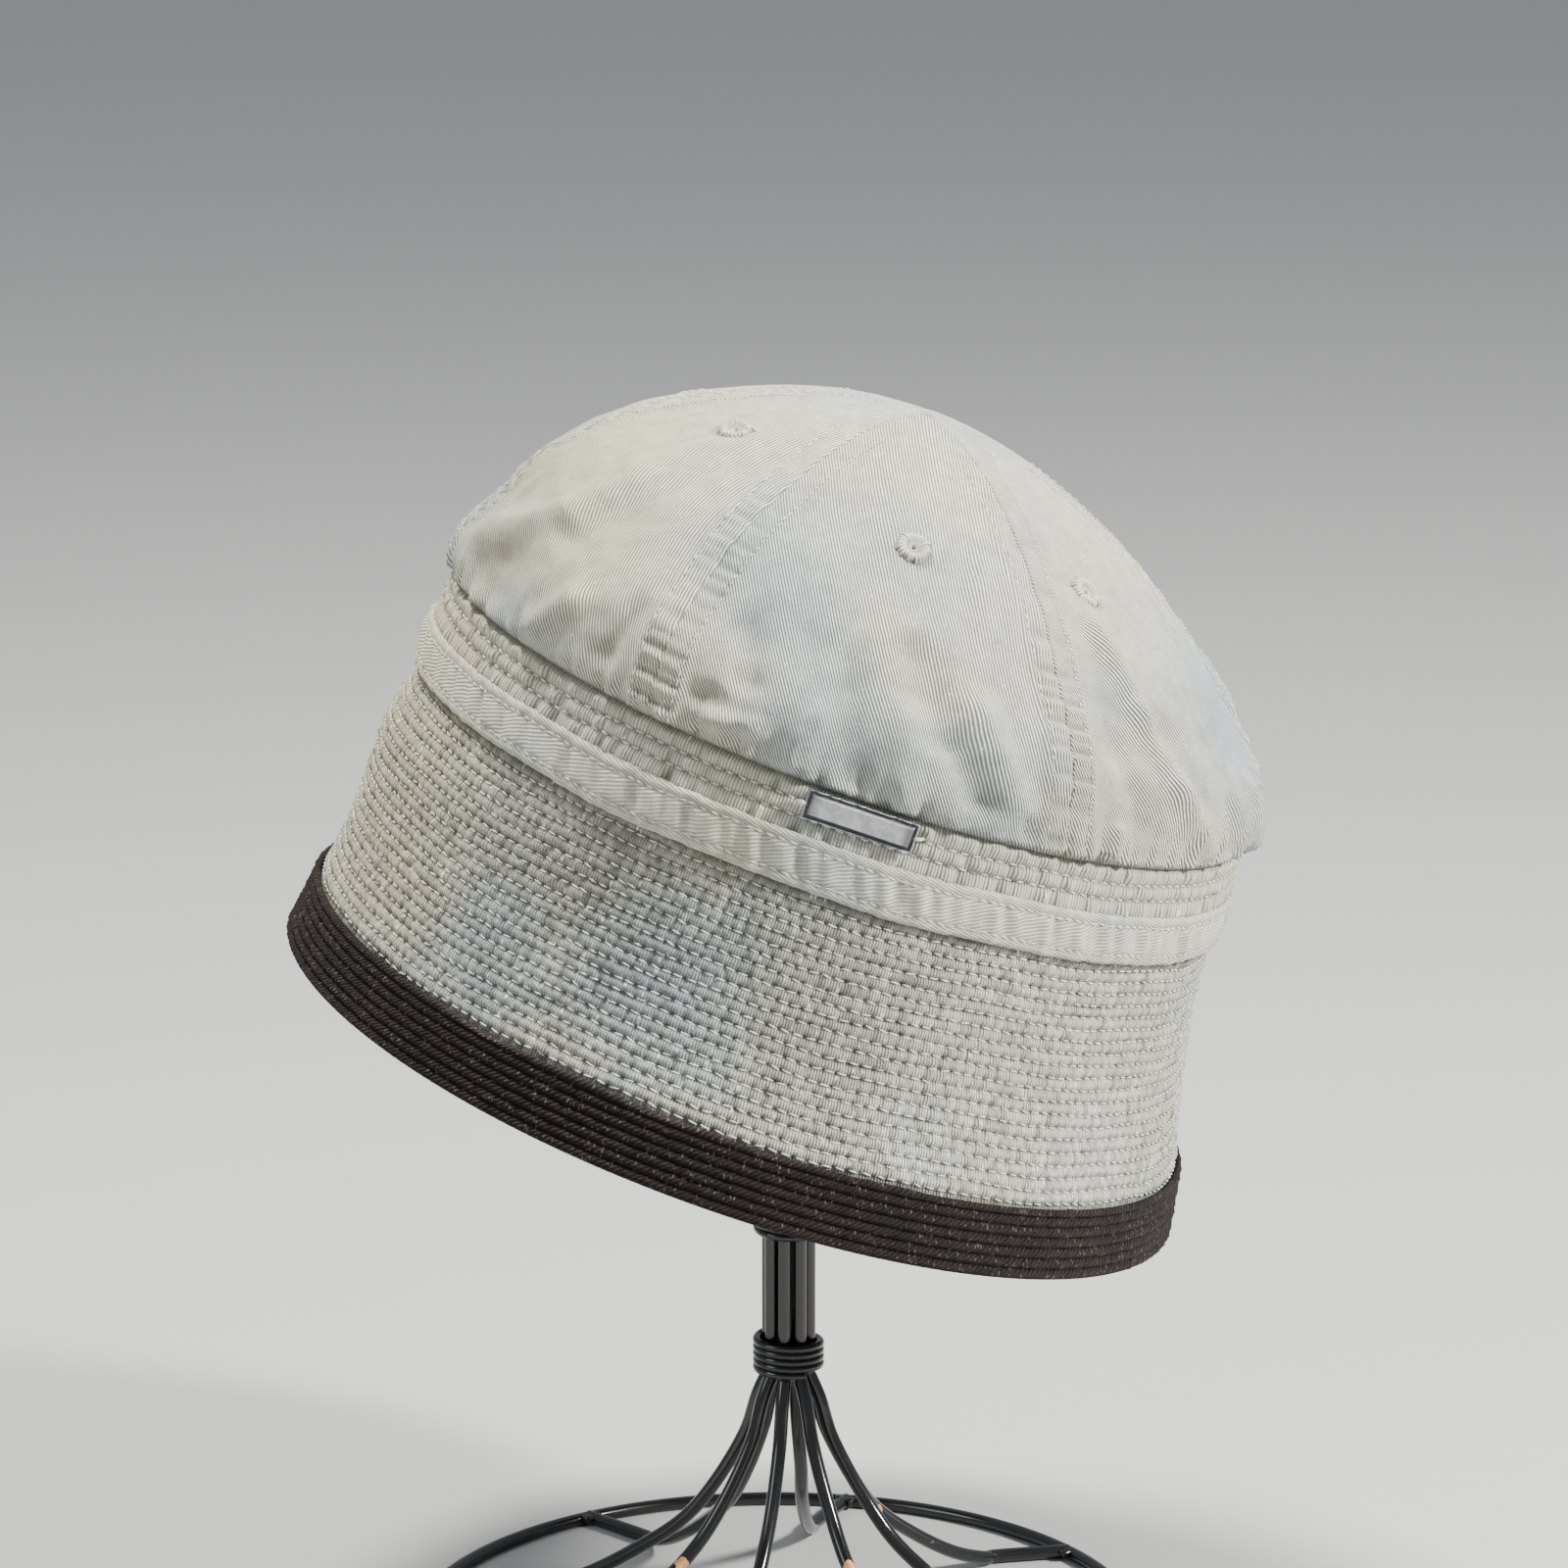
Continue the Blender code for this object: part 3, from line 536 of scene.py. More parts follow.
# Material tools: a node's output stands in formulas, and sums and products make Math nodes
class Signal:
    # signal["Name"] is another output of the same node

    def __init__(self, node, output=0):
        self.node = node
        self.socket = node.outputs[output]

    def __getitem__(self, output):
        return Signal(self.node, output)

    def into(self, kind, settings=None, **inputs):
        # a new node that takes this signal at its first input
        return addNode(self.node.id_data, kind, settings, i0=self, **inputs)

    def calc(self, operation, *others):
        inputs = {f"i{index}": value for index, value in enumerate(others, 1)}
        return self.into("Math", {"operation": operation}, **inputs)

    def __add__(self, other):
        return self.calc("ADD", other)

    def __sub__(self, other):
        return self.calc("SUBTRACT", other)

    def __rsub__(self, other):
        return self.calc("MULTIPLY_ADD", -1.0, other)

    def __mul__(self, other):
        return self.calc("MULTIPLY", other)

    def __truediv__(self, other):
        return self.calc("DIVIDE", other)

    def noise(self, scale, detail=3.0, roughness=0.55):
        return self.into("TexNoise", Scale=scale, Detail=detail, Roughness=roughness)

    def ramp(self, low, high, toLow=0.0, toHigh=1.0):
        # from toLow to toHigh while the signal goes from low to high, with soft ends
        return self.into("MapRange", {"interpolation_type": "SMOOTHSTEP"}, From_Min=low,
                         From_Max=high, To_Min=toLow, To_Max=toHigh)

    def mix(self, first, second):
        # the first colour where the signal is 0, the second where it is 1
        return self.into("Mix", {"data_type": "RGBA"}, i6=first, i7=second)[2]


def feed(socket, value):
    # links a signal, or sets a number, a vector or an opaque colour
    if isinstance(value, Signal):
        socket.id_data.links.new(value.socket, socket)
    elif socket.type == "RGBA":
        socket.default_value = (*value, 1.0)
    else:
        socket.default_value = value


def addNode(tree, kind, settings=None, **inputs):
    # inputs by name, with underscores for spaces, or by i and their number
    node = tree.nodes.new("ShaderNode" + kind)
    for key, value in (settings or {}).items():
        setattr(node, key, value)
    for key, value in inputs.items():
        feed(node.inputs[int(key[1:]) if key[1:].isdigit() else key.replace("_", " ")], value)
    return Signal(node)


def makeGroup(name, build, inputs, outputs):
    # build turns the signals of the inputs into those of the outputs; a number is the
    # default value of its socket, and a word is its kind
    tree = bpy.data.node_groups.new(name, "ShaderNodeTree")
    for direction, sockets in (("INPUT", inputs), ("OUTPUT", outputs)):
        for label, value in sockets.items():
            kind = value if isinstance(value, str) else "Float"
            socket = tree.interface.new_socket(label, in_out=direction,
                                               socket_type="NodeSocket" + kind)
            if kind == "Float":
                socket.default_value = value
    given = Signal(tree.nodes.new("NodeGroupInput"))
    end = tree.nodes.new("NodeGroupOutput")
    for label, signal in zip(outputs, build(given)):
        feed(end.inputs[label], signal)
    return tree


def useGroup(group, vector, look=None, **inputs):
    # inputs that have a value of the same name in look take it from there
    signal = vector.into("Group", {"node_tree": group}, **inputs)
    for socket in signal.node.inputs:
        key = socket.name[0].lower() + socket.name[1:].replace(" ", "")
        if look and key in look:
            feed(socket, look[key])
    return signal


def buildRibs(given):
    # ribs of yarn: pitch in millimetres of cloth, slant in degrees
    cloth = given["Vector"].into("VectorMath", {"operation": "SCALE"}, Scale=clothToMm)
    turned = cloth.into("VectorRotate", {"rotation_type": "Z_AXIS"},
                        Angle=given["Slant"].calc("RADIANS")).into("SeparateXYZ")
    rib = turned["X"] / given["Pitch"] + (cloth.noise(0.35, 2.0) - 0.5) * given["Wander"]
    ridge = (rib * (2 * math.pi)).calc("SINE") * 0.5 + 0.5
    # the yarns that cross the ribs step along from rib to rib
    step = (rib + 0.25).calc("FLOOR") * 0.37
    yarn = ((turned["Y"] / given["Yarn"] + step) * (2 * math.pi)).calc("SINE") * 0.5 + 0.5
    fray = cloth.noise(2.2, 4.0, 0.7)
    # the furrows' darkness is painted shade in the grooves between the ribs
    return (yarn * 0.12 + ridge * 0.88 + fray * 0.35, (1.0 - ridge) * (fray * 1.1 + 0.4),
            yarn * 0.15 + fray * 2.6 - 1.35)


def buildFaded(given):
    # washed cloth colour: cool and warm patches over a middle tone
    place, size = given["Vector"], given["Patch Size"]
    apart = place.into("VectorMath", {"operation": "ADD"}, i1=(0.37, 0.11, 0.53))
    warm = place.noise(size, 2.0, 0.5).ramp(0.42, 0.68) * given["Warm Share"]
    cool = apart.noise(size, 2.0, 0.5).ramp(0.48, 0.70) * given["Cool Share"]
    colour = cool.mix(warm.mix(given["Middle"], given["Warm"]), given["Cool"])
    return colour, place.noise(260.0, 5.0, 0.7).ramp(0.25, 0.75)


def buildSpot(given):
    # a cloudy patch round one place
    away = given["Vector"].into("VectorMath", {"operation": "DISTANCE"}, i1=given["Center"])
    ragged = given["Vector"].noise(given["Noise Scale"], 4.0, 0.6) - 0.5
    share = away["Value"] / given["Radius"] + ragged * given["Ragged"]
    return [share.ramp(0.25, 1.0, 1.0, 0.0)]


def buildSlubs(given):
    # pale knots and pills that stand up from worn cotton
    cloth = given["Vector"].into("VectorMath", {"operation": "SCALE"}, Scale=clothToMm)
    long = cloth.into("VectorMath", {"operation": "MULTIPLY"}, i1=(1.0, 0.55, 1.0))
    cells = long.into("TexVoronoi", Scale=given["Slub Size"].calc("POWER", -1.0))
    chosen = cells["Color"].into("SeparateColor").calc("LESS_THAN", given["Slub Share"])
    return [cells["Distance"].ramp(0.12, 0.42, 1.0, 0.0) * chosen]


ribWeave = makeGroup(
    "ribWeave", buildRibs,
    {"Vector": "Vector", "Pitch": 1.0, "Slant": 0.0, "Wander": 0.25, "Yarn": 0.45},
    {"Height": 0.0, "Furrow": 0.0, "Grain": 0.0})
fadedCloth = makeGroup(
    "fadedCloth", buildFaded,
    {"Vector": "Vector", "Middle": "Color", "Warm": "Color", "Cool": "Color",
     "Patch Size": 28.0, "Warm Share": 0.5, "Cool Share": 0.5},
    {"Color": "Color", "Mottle": 0.0})
softSpot = makeGroup(
    "softSpot", buildSpot,
    {"Vector": "Vector", "Center": "Vector", "Radius": 0.03, "Ragged": 0.5,
     "Noise Scale": 70.0}, {"Mask": 0.0})
slubs = makeGroup(
    "slubs", buildSlubs, {"Vector": "Vector", "Slub Size": 1.6, "Slub Share": 0.25},
    {"Mask": 0.0})


def startMaterial(name):
    # a material and the place in it, with the cloth coordinates beside it
    material = bpy.data.materials.new(name)
    material.use_nodes = True
    return material, addNode(material.node_tree, "TexCoord")["Object"]


def paintedShadeOf(material):
    return addNode(material.node_tree, "Attribute", {"attribute_name": "sink"})["Fac"]


def finishMaterial(material, height, depth, strength, **sockets):
    # relief from a height, and the shader's other sockets
    tree = material.node_tree
    shader = tree.nodes["Principled BSDF"]
    relief = addNode(tree, "Bump", Height=height, Distance=depth, Strength=strength)
    for key, value in {**sockets, "Normal": relief}.items():
        feed(shader.inputs[key.replace("_", " ")], value)
    return material


def surfaceAt(turn, level):
    # level under 1: height share up the brim; over 1: crown rise plus 1
    turn = np.array([float(turn)])
    if level < 1.0:
        height = np.array([hem["height"] + brim["height"] * level])
        return hatPoint(turn, brimRadius(height), height)
    return crownPoint(turn, np.array([level - 1.0]))


def clothMaterial(name, look):
    # worn cotton: faded colour, ribs with painted shade in their furrows, the piece's painted
    # shade and darkening, slubs and stained patches
    material, place = startMaterial(name)
    flat, sink = place["UV"], paintedShadeOf(material)
    faded = useGroup(fadedCloth, place, look)
    ribs = useGroup(ribWeave, flat, look)
    pills = useGroup(slubs, flat, look)
    colour = faded["Color"]
    for turn, level, radius, ragged, strength, shade in look["spots"]:
        center = tuple(toRoom(surfaceAt(turn, level))[0])
        spot = useGroup(softSpot, place, Center=center, Radius=radius, Ragged=ragged)
        colour = (spot * strength).mix(colour, shade)
    # painted shade in the rib furrows, then the piece's painted shade and darkening
    colour = (ribs["Furrow"] * look["furrow"]).mix(colour, look["furrowColour"])
    colour = (sink * look["sinkShade"]).mix(colour, look["furrowColour"])
    colour = (pills * look["slubStrength"]).mix(colour, look["slubColour"])
    mottle = (faded["Mottle"] - 0.5) * look["mottle"] + 1.0 + ribs["Grain"] * look["grain"]
    colour = addNode(material.node_tree, "Mix", {"data_type": "RGBA", "blend_type": "MULTIPLY"},
                     i0=1.0, i6=colour, i7=mottle)[2]
    return finishMaterial(
        material, ribs["Height"] + pills * look["slubLift"], look["ribDepth"],
        look["bumpStrength"], Base_Color=colour,
        Roughness=ribs["Height"].ramp(0.0, 1.2, 0.98, look["roughness"]),
        Sheen_Weight=look["sheen"], Sheen_Roughness=0.6, Specular_IOR_Level=0.15)


def crownRaw(turn, rise):
    # the crown's plain form, as in the solids
    rise = np.asarray(rise, dtype=float)
    radius = profileRadius(rise)
    fade = smoothStep(rise / 0.08)
    for foldTurn, foldRise, turnSpread, riseSpread, depth in crownSwells:
        across = turnGap(turn, foldTurn) / turnSpread
        along = (rise - foldRise) / riseSpread
        radius = radius + fade * depth * crown["height"] * np.exp(-across**2 - along**2)
    points = hatPoint(turn, radius, seamLevel + rise * crown["height"])
    points[..., 0] -= crown["lean"] * rise * (1 + crown["leanHaste"] * (1 - rise))
    return points


def crownNormal(turn, rise):
    rise = np.asarray(rise, dtype=float)
    around = crownRaw(turn + 0.5, rise) - crownRaw(turn - 0.5, rise)
    up = (crownRaw(turn, np.minimum(rise + 0.005, 1.0))
          - crownRaw(turn, np.maximum(rise - 0.005, 0.0)))
    return unit(np.cross(around, up))


# Soft folds of the crown, each along a line: two places, width and height
crownFolds = [
    # turn, rise, turn, rise, width, height
    (-76.0, 0.20, -60.0, 0.40, 5.5 * mm, 1.7 * mm),
    (-60.0, 0.40, -56.0, 0.60, 6.0 * mm, 1.5 * mm),
    (-56.0, 0.60, -52.0, 0.82, 7.0 * mm, 1.0 * mm),
    (-72.0, 0.10, -61.0, 0.26, 6.5 * mm, -1.1 * mm),
    (-56.0, 0.34, -50.0, 0.52, 5.5 * mm, -0.8 * mm),
    (-52.0, 0.06, -46.0, 0.24, 3.8 * mm, 1.6 * mm),
    (-38.5, 0.10, -36.5, 0.30, 3.6 * mm, -1.3 * mm),
    (-24.5, 0.125, -20.5, 0.165, 2.6 * mm, -0.85 * mm),
    (-22.0, 0.07, -14.0, 0.12, 2.8 * mm, 1.4 * mm),
    (-21.0, 0.40, -16.5, 0.21, 4.2 * mm, -1.5 * mm),
    (-9.0, 0.03, -7.0, 0.22, 3.4 * mm, 1.2 * mm),
    (-1.0, 0.05, -3.0, 0.36, 3.6 * mm, -1.7 * mm),
    (6.0, 0.04, 4.5, 0.30, 4.0 * mm, 1.7 * mm),
    (17.0, 0.09, 12.0, 0.27, 4.6 * mm, -2.1 * mm),
    (12.0, 0.27, 5.0, 0.48, 5.0 * mm, -1.8 * mm),
    (22.5, 0.11, 15.5, 0.38, 4.2 * mm, 2.0 * mm),
    (24.6, -0.02, 24.1, 0.10, 1.9 * mm, -1.4 * mm),
    (42.0, 0.66, 47.0, 0.44, 3.4 * mm, 1.6 * mm),
    (47.0, 0.44, 51.0, 0.24, 3.4 * mm, 1.8 * mm),
    (51.0, 0.24, 60.0, 0.06, 3.6 * mm, 1.8 * mm),
    (53.0, 0.44, 60.0, 0.20, 4.4 * mm, -1.2 * mm),
    (40.0, 0.38, 44.0, 0.12, 4.0 * mm, -1.2 * mm),
    (38.0, 0.03, 39.0, 0.13, 2.4 * mm, 1.4 * mm),
    (69.0, 0.05, 67.0, 0.22, 3.0 * mm, -1.5 * mm),
    (78.0, 0.04, 74.0, 0.26, 3.4 * mm, 1.3 * mm),
    (112.0, 0.10, 98.0, 0.44, 4.5 * mm, 1.9 * mm),
    (135.0, 0.08, 142.0, 0.30, 4.0 * mm, -2.0 * mm),
    (160.0, 0.06, 150.0, 0.38, 4.5 * mm, 2.0 * mm),
    (-170.0, 0.10, -160.0, 0.36, 4.5 * mm, -1.8 * mm),
    (-140.0, 0.06, -132.0, 0.34, 4.2 * mm, 2.1 * mm),
    (-112.0, 0.08, -120.0, 0.36, 4.5 * mm, -2.0 * mm),
]


def foldRelief(turn, rise):
    # every fold is measured along the cloth
    total = 0.0
    for turnA, riseA, turnB, riseB, width, height in crownFolds:
        degree = math.radians(1.0) * profileRadius((riseA + riseB) / 2)
        x = turnGap(turn, turnA) * degree
        y = (rise - riseA) * crownClimb
        alongX = turnGap(turnB, turnA) * degree
        alongY = (riseB - riseA) * crownClimb
        length = math.hypot(alongX, alongY)
        share = (x * alongX + y * alongY) / length**2
        side = (x * alongY - y * alongX) / length
        ends = smoothStep((share + 0.25) / 0.4) * smoothStep((1.25 - share) / 0.4)
        total = total + height * ends * bump(side, width)
    return crown["foldStrength"] * total


def seamPuckers(turn, rise):
    # ripples across the allowances: relief, and 1 where a slit is, which the panels paint dark as
    # shade
    here = profileRadius(rise)
    run = rise * crownClimb
    reach = smoothStep(rise / 0.05) * (0.30 + 0.70 * smoothStep((0.85 - rise) / 0.45))
    pitch = crown["puckerPitch"]
    relief, slits = 0.0, 0.0
    for seam in range(crown["panels"]):
        seamTurn = crown["start"] + seam * panelWidth
        side = np.radians(turnGap(turn, seamTurn)) * here
        for half, shift in ((-1, 0.0), (1, 0.07)):
            inward = half * side
            across = smoothStep((inward + 0.7 * mm) / (1.4 * mm)) * (
                1 - smoothStep((inward - crown["puckerReach"]) / (2.4 * mm)))
            phase = run / pitch + shift + 0.17 * seam
            phase = phase + 0.36 * np.sin(run / (8.3 * mm) + 2.3 * seam + 0.12 * half)
            away = (phase - np.rint(phase)) * pitch
            slit = bump(away, crown["slitWidth"])
            swell = bump(away + 0.30 * pitch, 0.26 * pitch)
            patchy = 0.8 + 0.3 * np.sin(run / (6.1 * mm) + 2.1 * seam + 0.9 * half)
            relief = relief + crown["puckerDepth"] * patchy * across * (0.7 * swell - 0.8 * slit)
            slits = slits + patchy * across * slit
    return relief * reach, slits * reach


def crownRelief(turn, rise):
    # folds, gathers over the seam with the band, and puckers along the seams
    fade = smoothStep(rise / 0.05) * smoothStep((1 - rise) / 0.3)
    relief = fade * foldRelief(turn, rise)
    relief = relief + 0.55 * mm * fade * clothNoise(turn, rise, 34 * mm, 3)
    relief = relief + 0.16 * mm * fade * clothNoise(turn, rise, 11 * mm, 4)
    gathers = ringNoise(turn, 9.0 * mm, 11) + 0.6 * ringNoise(turn, 4.6 * mm, 12)
    gathers = gathers - 1.2 * bump(gathers + 1.1, 0.35)
    low = smoothStep(rise / 0.02) * np.exp(-rise / 0.075)
    relief = relief + 1.0 * mm * low * gathers
    return relief + seamPuckers(turn, rise)[0]


def crownPoint(turn, rise, out=0.0):
    rise = np.asarray(rise, dtype=float)
    lift = (crownRelief(turn, rise) + out)[..., None]
    return crownRaw(turn, rise) + lift * crownNormal(turn, rise)


# Cloth finishes
threadLook = {
    "colour": (0.84, 0.84, 0.78),
    "shade": (0.46, 0.46, 0.41),
    "deep": (0.12, 0.12, 0.10),
    "roughness": 0.8,
}
eyeletLook = {**threadLook, "colour": (0.78, 0.77, 0.66), "shade": (0.48, 0.475, 0.39)}
crownLook = {
    "middle": (0.77, 0.775, 0.665),
    "warm": (0.88, 0.83, 0.60),
    "cool": (0.59, 0.66, 0.69),
    "patchSize": 24.0, "warmShare": 0.6, "coolShare": 0.7,
    "pitch": 0.72, "slant": -24.0, "wander": 0.22, "yarn": 0.5,
    "furrow": 1.0, "furrowColour": (0.10, 0.105, 0.09),
    "sinkShade": 0.6, "slubSize": 1.0, "slubShare": 0.04, "slubStrength": 0.25,
    "slubColour": (0.86, 0.86, 0.80), "slubLift": 0.3, "mottle": 0.28, "grain": 0.5,
    "roughness": 0.82, "ribDepth": 0.36 * mm, "bumpStrength": 1.0, "sheen": 0.08,
    "spots": [
        # turn, level, radius, ragged, strength, shade
        (-78.0, 1.62, 60 * mm, 0.7, 0.9, (0.84, 0.785, 0.55)),
        (-50.0, 1.36, 24 * mm, 0.8, 0.75, (0.82, 0.745, 0.49)),
        (-10.0, 1.93, 36 * mm, 0.6, 0.8, (0.86, 0.825, 0.62)),
        (-17.0, 1.48, 24 * mm, 0.8, 0.75, (0.50, 0.59, 0.66)),
        (-5.0, 1.20, 22 * mm, 0.9, 0.7, (0.50, 0.58, 0.64)),
        (78.0, 1.42, 34 * mm, 0.8, 0.8, (0.50, 0.59, 0.66)),
        # painted shade: a darker brown patch in the hollow at the lower left
        (-66.0, 1.20, 15 * mm, 0.8, 0.5, (0.58, 0.52, 0.38)),
        (30.0, 1.30, 16 * mm, 0.9, 0.5, (0.74, 0.72, 0.60)),
    ],
}
brimLook = {
    "middle": (0.61, 0.61, 0.515),
    "warm": (0.61, 0.57, 0.41),
    "cool": (0.46, 0.51, 0.50),
    "patchSize": 20.0, "warmShare": 0.6, "coolShare": 0.7,
    "pitch": 0.72, "slant": 0.0, "wander": 0.5, "yarn": 0.9,
    "furrow": 0.66, "furrowColour": (0.10, 0.105, 0.08),
    "sinkShade": 0.86, "slubSize": 1.2, "slubShare": 0.2, "slubStrength": 0.6,
    "slubColour": (0.88, 0.89, 0.83), "slubLift": 0.9, "mottle": 0.6, "grain": 0.62,
    "roughness": 0.85, "ribDepth": 0.26 * mm, "bumpStrength": 1.0, "sheen": 0.08,
    "spots": [
        # turn, level, radius, ragged, strength, shade
        (-75.0, 0.72, 62 * mm, 0.7, 0.9, (0.59, 0.525, 0.345)),
        (-18.0, 0.52, 32 * mm, 1.3, 0.85, (0.27, 0.33, 0.38)),
        (-8.0, 0.24, 20 * mm, 1.3, 0.5, (0.38, 0.45, 0.50)),
        (-38.0, 0.22, 20 * mm, 1.3, 0.6, (0.36, 0.42, 0.46)),
        (4.0, 0.66, 34 * mm, 1.2, 0.6, (0.37, 0.37, 0.30)),
        (-28.0, 0.80, 26 * mm, 1.1, 0.75, (0.32, 0.32, 0.26)),
        (-44.0, 0.84, 22 * mm, 1.1, 0.5, (0.38, 0.37, 0.28)),
        (46.0, 0.20, 36 * mm, 0.9, 0.7, (0.76, 0.77, 0.70)),
        (22.0, 0.16, 28 * mm, 0.9, 0.6, (0.73, 0.74, 0.68)),
        (38.0, 0.80, 26 * mm, 0.9, 0.5, (0.66, 0.66, 0.54)),
    ],
}
bandLook = {
    **brimLook,
    "middle": (0.61, 0.61, 0.50), "pitch": 0.75, "wander": 0.35, "furrow": 0.7,
    "slubShare": 0.04, "sinkShade": 0.8, "mottle": 0.36, "grain": 0.3,
    "spots": [(-80.0, 1.02, 64 * mm, 0.6, 0.85, (0.62, 0.555, 0.385))],
}
tapeLook = {
    **brimLook,
    "middle": (0.67, 0.67, 0.575), "pitch": 0.85, "slant": 68.0, "wander": 0.35, "yarn": 0.6,
    "furrow": 0.7, "furrowColour": (0.17, 0.17, 0.135), "slubShare": 0.02,
    "sinkShade": 0.62, "mottle": 0.32, "grain": 0.34, "ribDepth": 0.22 * mm,
    "spots": [(-80.0, 1.02, 64 * mm, 0.6, 0.85, (0.66, 0.60, 0.435))],
}
hemLook = {
    "middle": (0.021, 0.0135, 0.0115),
    "warm": (0.038, 0.021, 0.017),
    "cool": (0.013, 0.012, 0.0125),
    "patchSize": 40.0, "warmShare": 0.7, "coolShare": 0.6,
    "pitch": 0.85, "slant": 52.0, "wander": 0.6, "yarn": 0.7,
    "furrow": 0.9, "furrowColour": (0.005, 0.004, 0.004),
    # the pale slubs are partly real slubs and partly painted highlights on the twill cords
    "sinkShade": 0.92, "slubSize": 0.7, "slubShare": 0.36, "slubStrength": 0.34,
    "slubColour": (0.26, 0.21, 0.19), "slubLift": 0.3, "mottle": 0.7, "grain": 0.5,
    "roughness": 0.85, "ribDepth": 0.32 * mm, "bumpStrength": 1.0, "sheen": 0.02,
    "spots": [],
}


def threadMaterial(name, look):
    # twisted cotton thread, with painted shade where its piece's attribute asks for it
    material, place = startMaterial(name)
    fuzz = place.noise(2600.0, 3.0, 0.7)
    wear = place.noise(150.0, 2.0)
    colour = (fuzz * 0.7 + wear * 0.5).ramp(0.35, 0.85).mix(look["shade"], look["colour"])
    return finishMaterial(material, fuzz, 0.08 * mm, 0.7,
                          Base_Color=paintedShadeOf(material).mix(colour, look["deep"]),
                          Roughness=wear.ramp(0.3, 0.7, look["roughness"], 0.95),
                          Sheen_Weight=0.1)


crownCloth = clothMaterial("crownTwill", crownLook)
brimCloth = clothMaterial("brimRibbed", brimLook)
bandCloth = clothMaterial("bandRibbed", bandLook)
tapeCloth = clothMaterial("tapeTwill", tapeLook)
hemCloth = clothMaterial("hemTwill", hemLook)
paleThread = threadMaterial("paleThread", threadLook)
eyeletThread = threadMaterial("eyeletThread", eyeletLook)
print("cloth finishes made")


# Hem binding: ridges and a folded lip outside, the fold over the brim's foot, a plain inside
def makeHem():
    steps, count = 5, hem["ridges"]
    rows = np.arange(steps * (count + 1) + 1)
    ridges = np.minimum(rows // steps, count)
    shares = rows / steps - ridges
    lipLow = hem["height"] - hem["lip"]
    heights = np.where(ridges < count, lipLow * (ridges + shares) / count,
                       lipLow + hem["lip"] * shares)
    section = [(hem["radius"] - hem["riseIn"] * height / hem["height"], height)
               for height in heights]
    foot, top = brimRadius(np.array([hem["cloth"] + hat["gap"], hem["height"]]))
    inside = brim["cloth"] + hat["gap"]
    section += [
        (top + 0.5 * hat["gap"], hem["height"] - 0.2 * mm),
        (top + hat["gap"], hem["height"] - 2 * mm),
        (foot + hat["gap"], hem["cloth"]),
        (foot - inside, hem["cloth"]),
        (top - inside, hem["height"] - 0.3 * mm),
        (top - inside - 0.5 * hem["cloth"], hem["height"]),
        (top - inside - hem["cloth"], hem["height"] - 0.4 * mm),
    ]
    innerFirst = len(section)
    section += [(top + (foot - top) * share - inside - hem["cloth"],
                 (hem["height"] - 0.4 * mm) * (1 - share)) for share in np.arange(1, 12) / 12]
    section += [(foot - inside - 0.6 * hem["cloth"], -0.15 * mm),
                (foot + 0.4 * hem["cloth"], -0.35 * mm)]
    rest = len(section) - len(rows)
    ridges = np.append(ridges, np.full(rest, -1))
    shares = np.append(shares, np.zeros(rest))

    def relief(turn, row):
        ridge, share = ridges[row], shares[row]
        lip = ridge == count
        layer = np.maximum(ridge, 0)
        phase = np.random.default_rng(5).uniform(0.0, 360.0, count + 1)[layer]
        beads = np.cos(np.radians(turn + phase) * 250)
        lumps = ringNoise(turn, 6 * mm, 21, layer)
        arch = np.clip(np.sin(math.pi * share), 0.0, 1.0)
        domed = hem["ridgeDepth"] * (arch**0.7 * (1 + 0.18 * beads + 0.18 * lumps) - 0.8)
        lipped = hem["lipDepth"] * (arch**0.6 * (1 + 0.2 * lumps) - 0.7)
        plain = np.where(row >= innerFirst,
                         0.18 * mm * np.cos(math.pi * row) * (1 + 0.3 * beads), 0.0)
        wave = 0.4 * mm * ringNoise(turn, 38 * mm, 22) + 0.12 * mm * ringNoise(turn, 5 * mm, 23)
        # the third value is painted shade in the grooves between the ridges and at the foot of
        # the lip
        kinds = [lip, ridge >= 0]
        return (np.select(kinds, [lipped, domed], plain), np.where(lip, wave * share, 0.0),
                np.select(kinds, [bump(share, 0.16) - 0.6 * (share > 0.3),
                                  bump(np.minimum(share, 1 - share), 0.17)], 0.0))

    ready(makeHatRing(hem["columns"], section, relief), "hemBinding", hemCloth, "hem_cloth",
          "hem_binding")


makeHem()
print("hem made")


# Brim: rows of running stitches with puffed cloth between them
brimRows = int((brim["height"] + 2.0 * mm - brim["firstRow"]) / brim["rowPitch"])


def rowWander(turn, row):
    # the rows wander a little up and down, each in its own way
    own = ringNoise(turn, 44 * mm, 31, row)
    return brim["rowWander"] * (0.45 * own + 0.75 * ringNoise(turn, 90 * mm, 32))


def rowHeight(turn, row):
    return (hem["height"] + brim["firstRow"] + brim["rowPitch"] * row
            + rowWander(turn, np.asarray(row, dtype=int)))


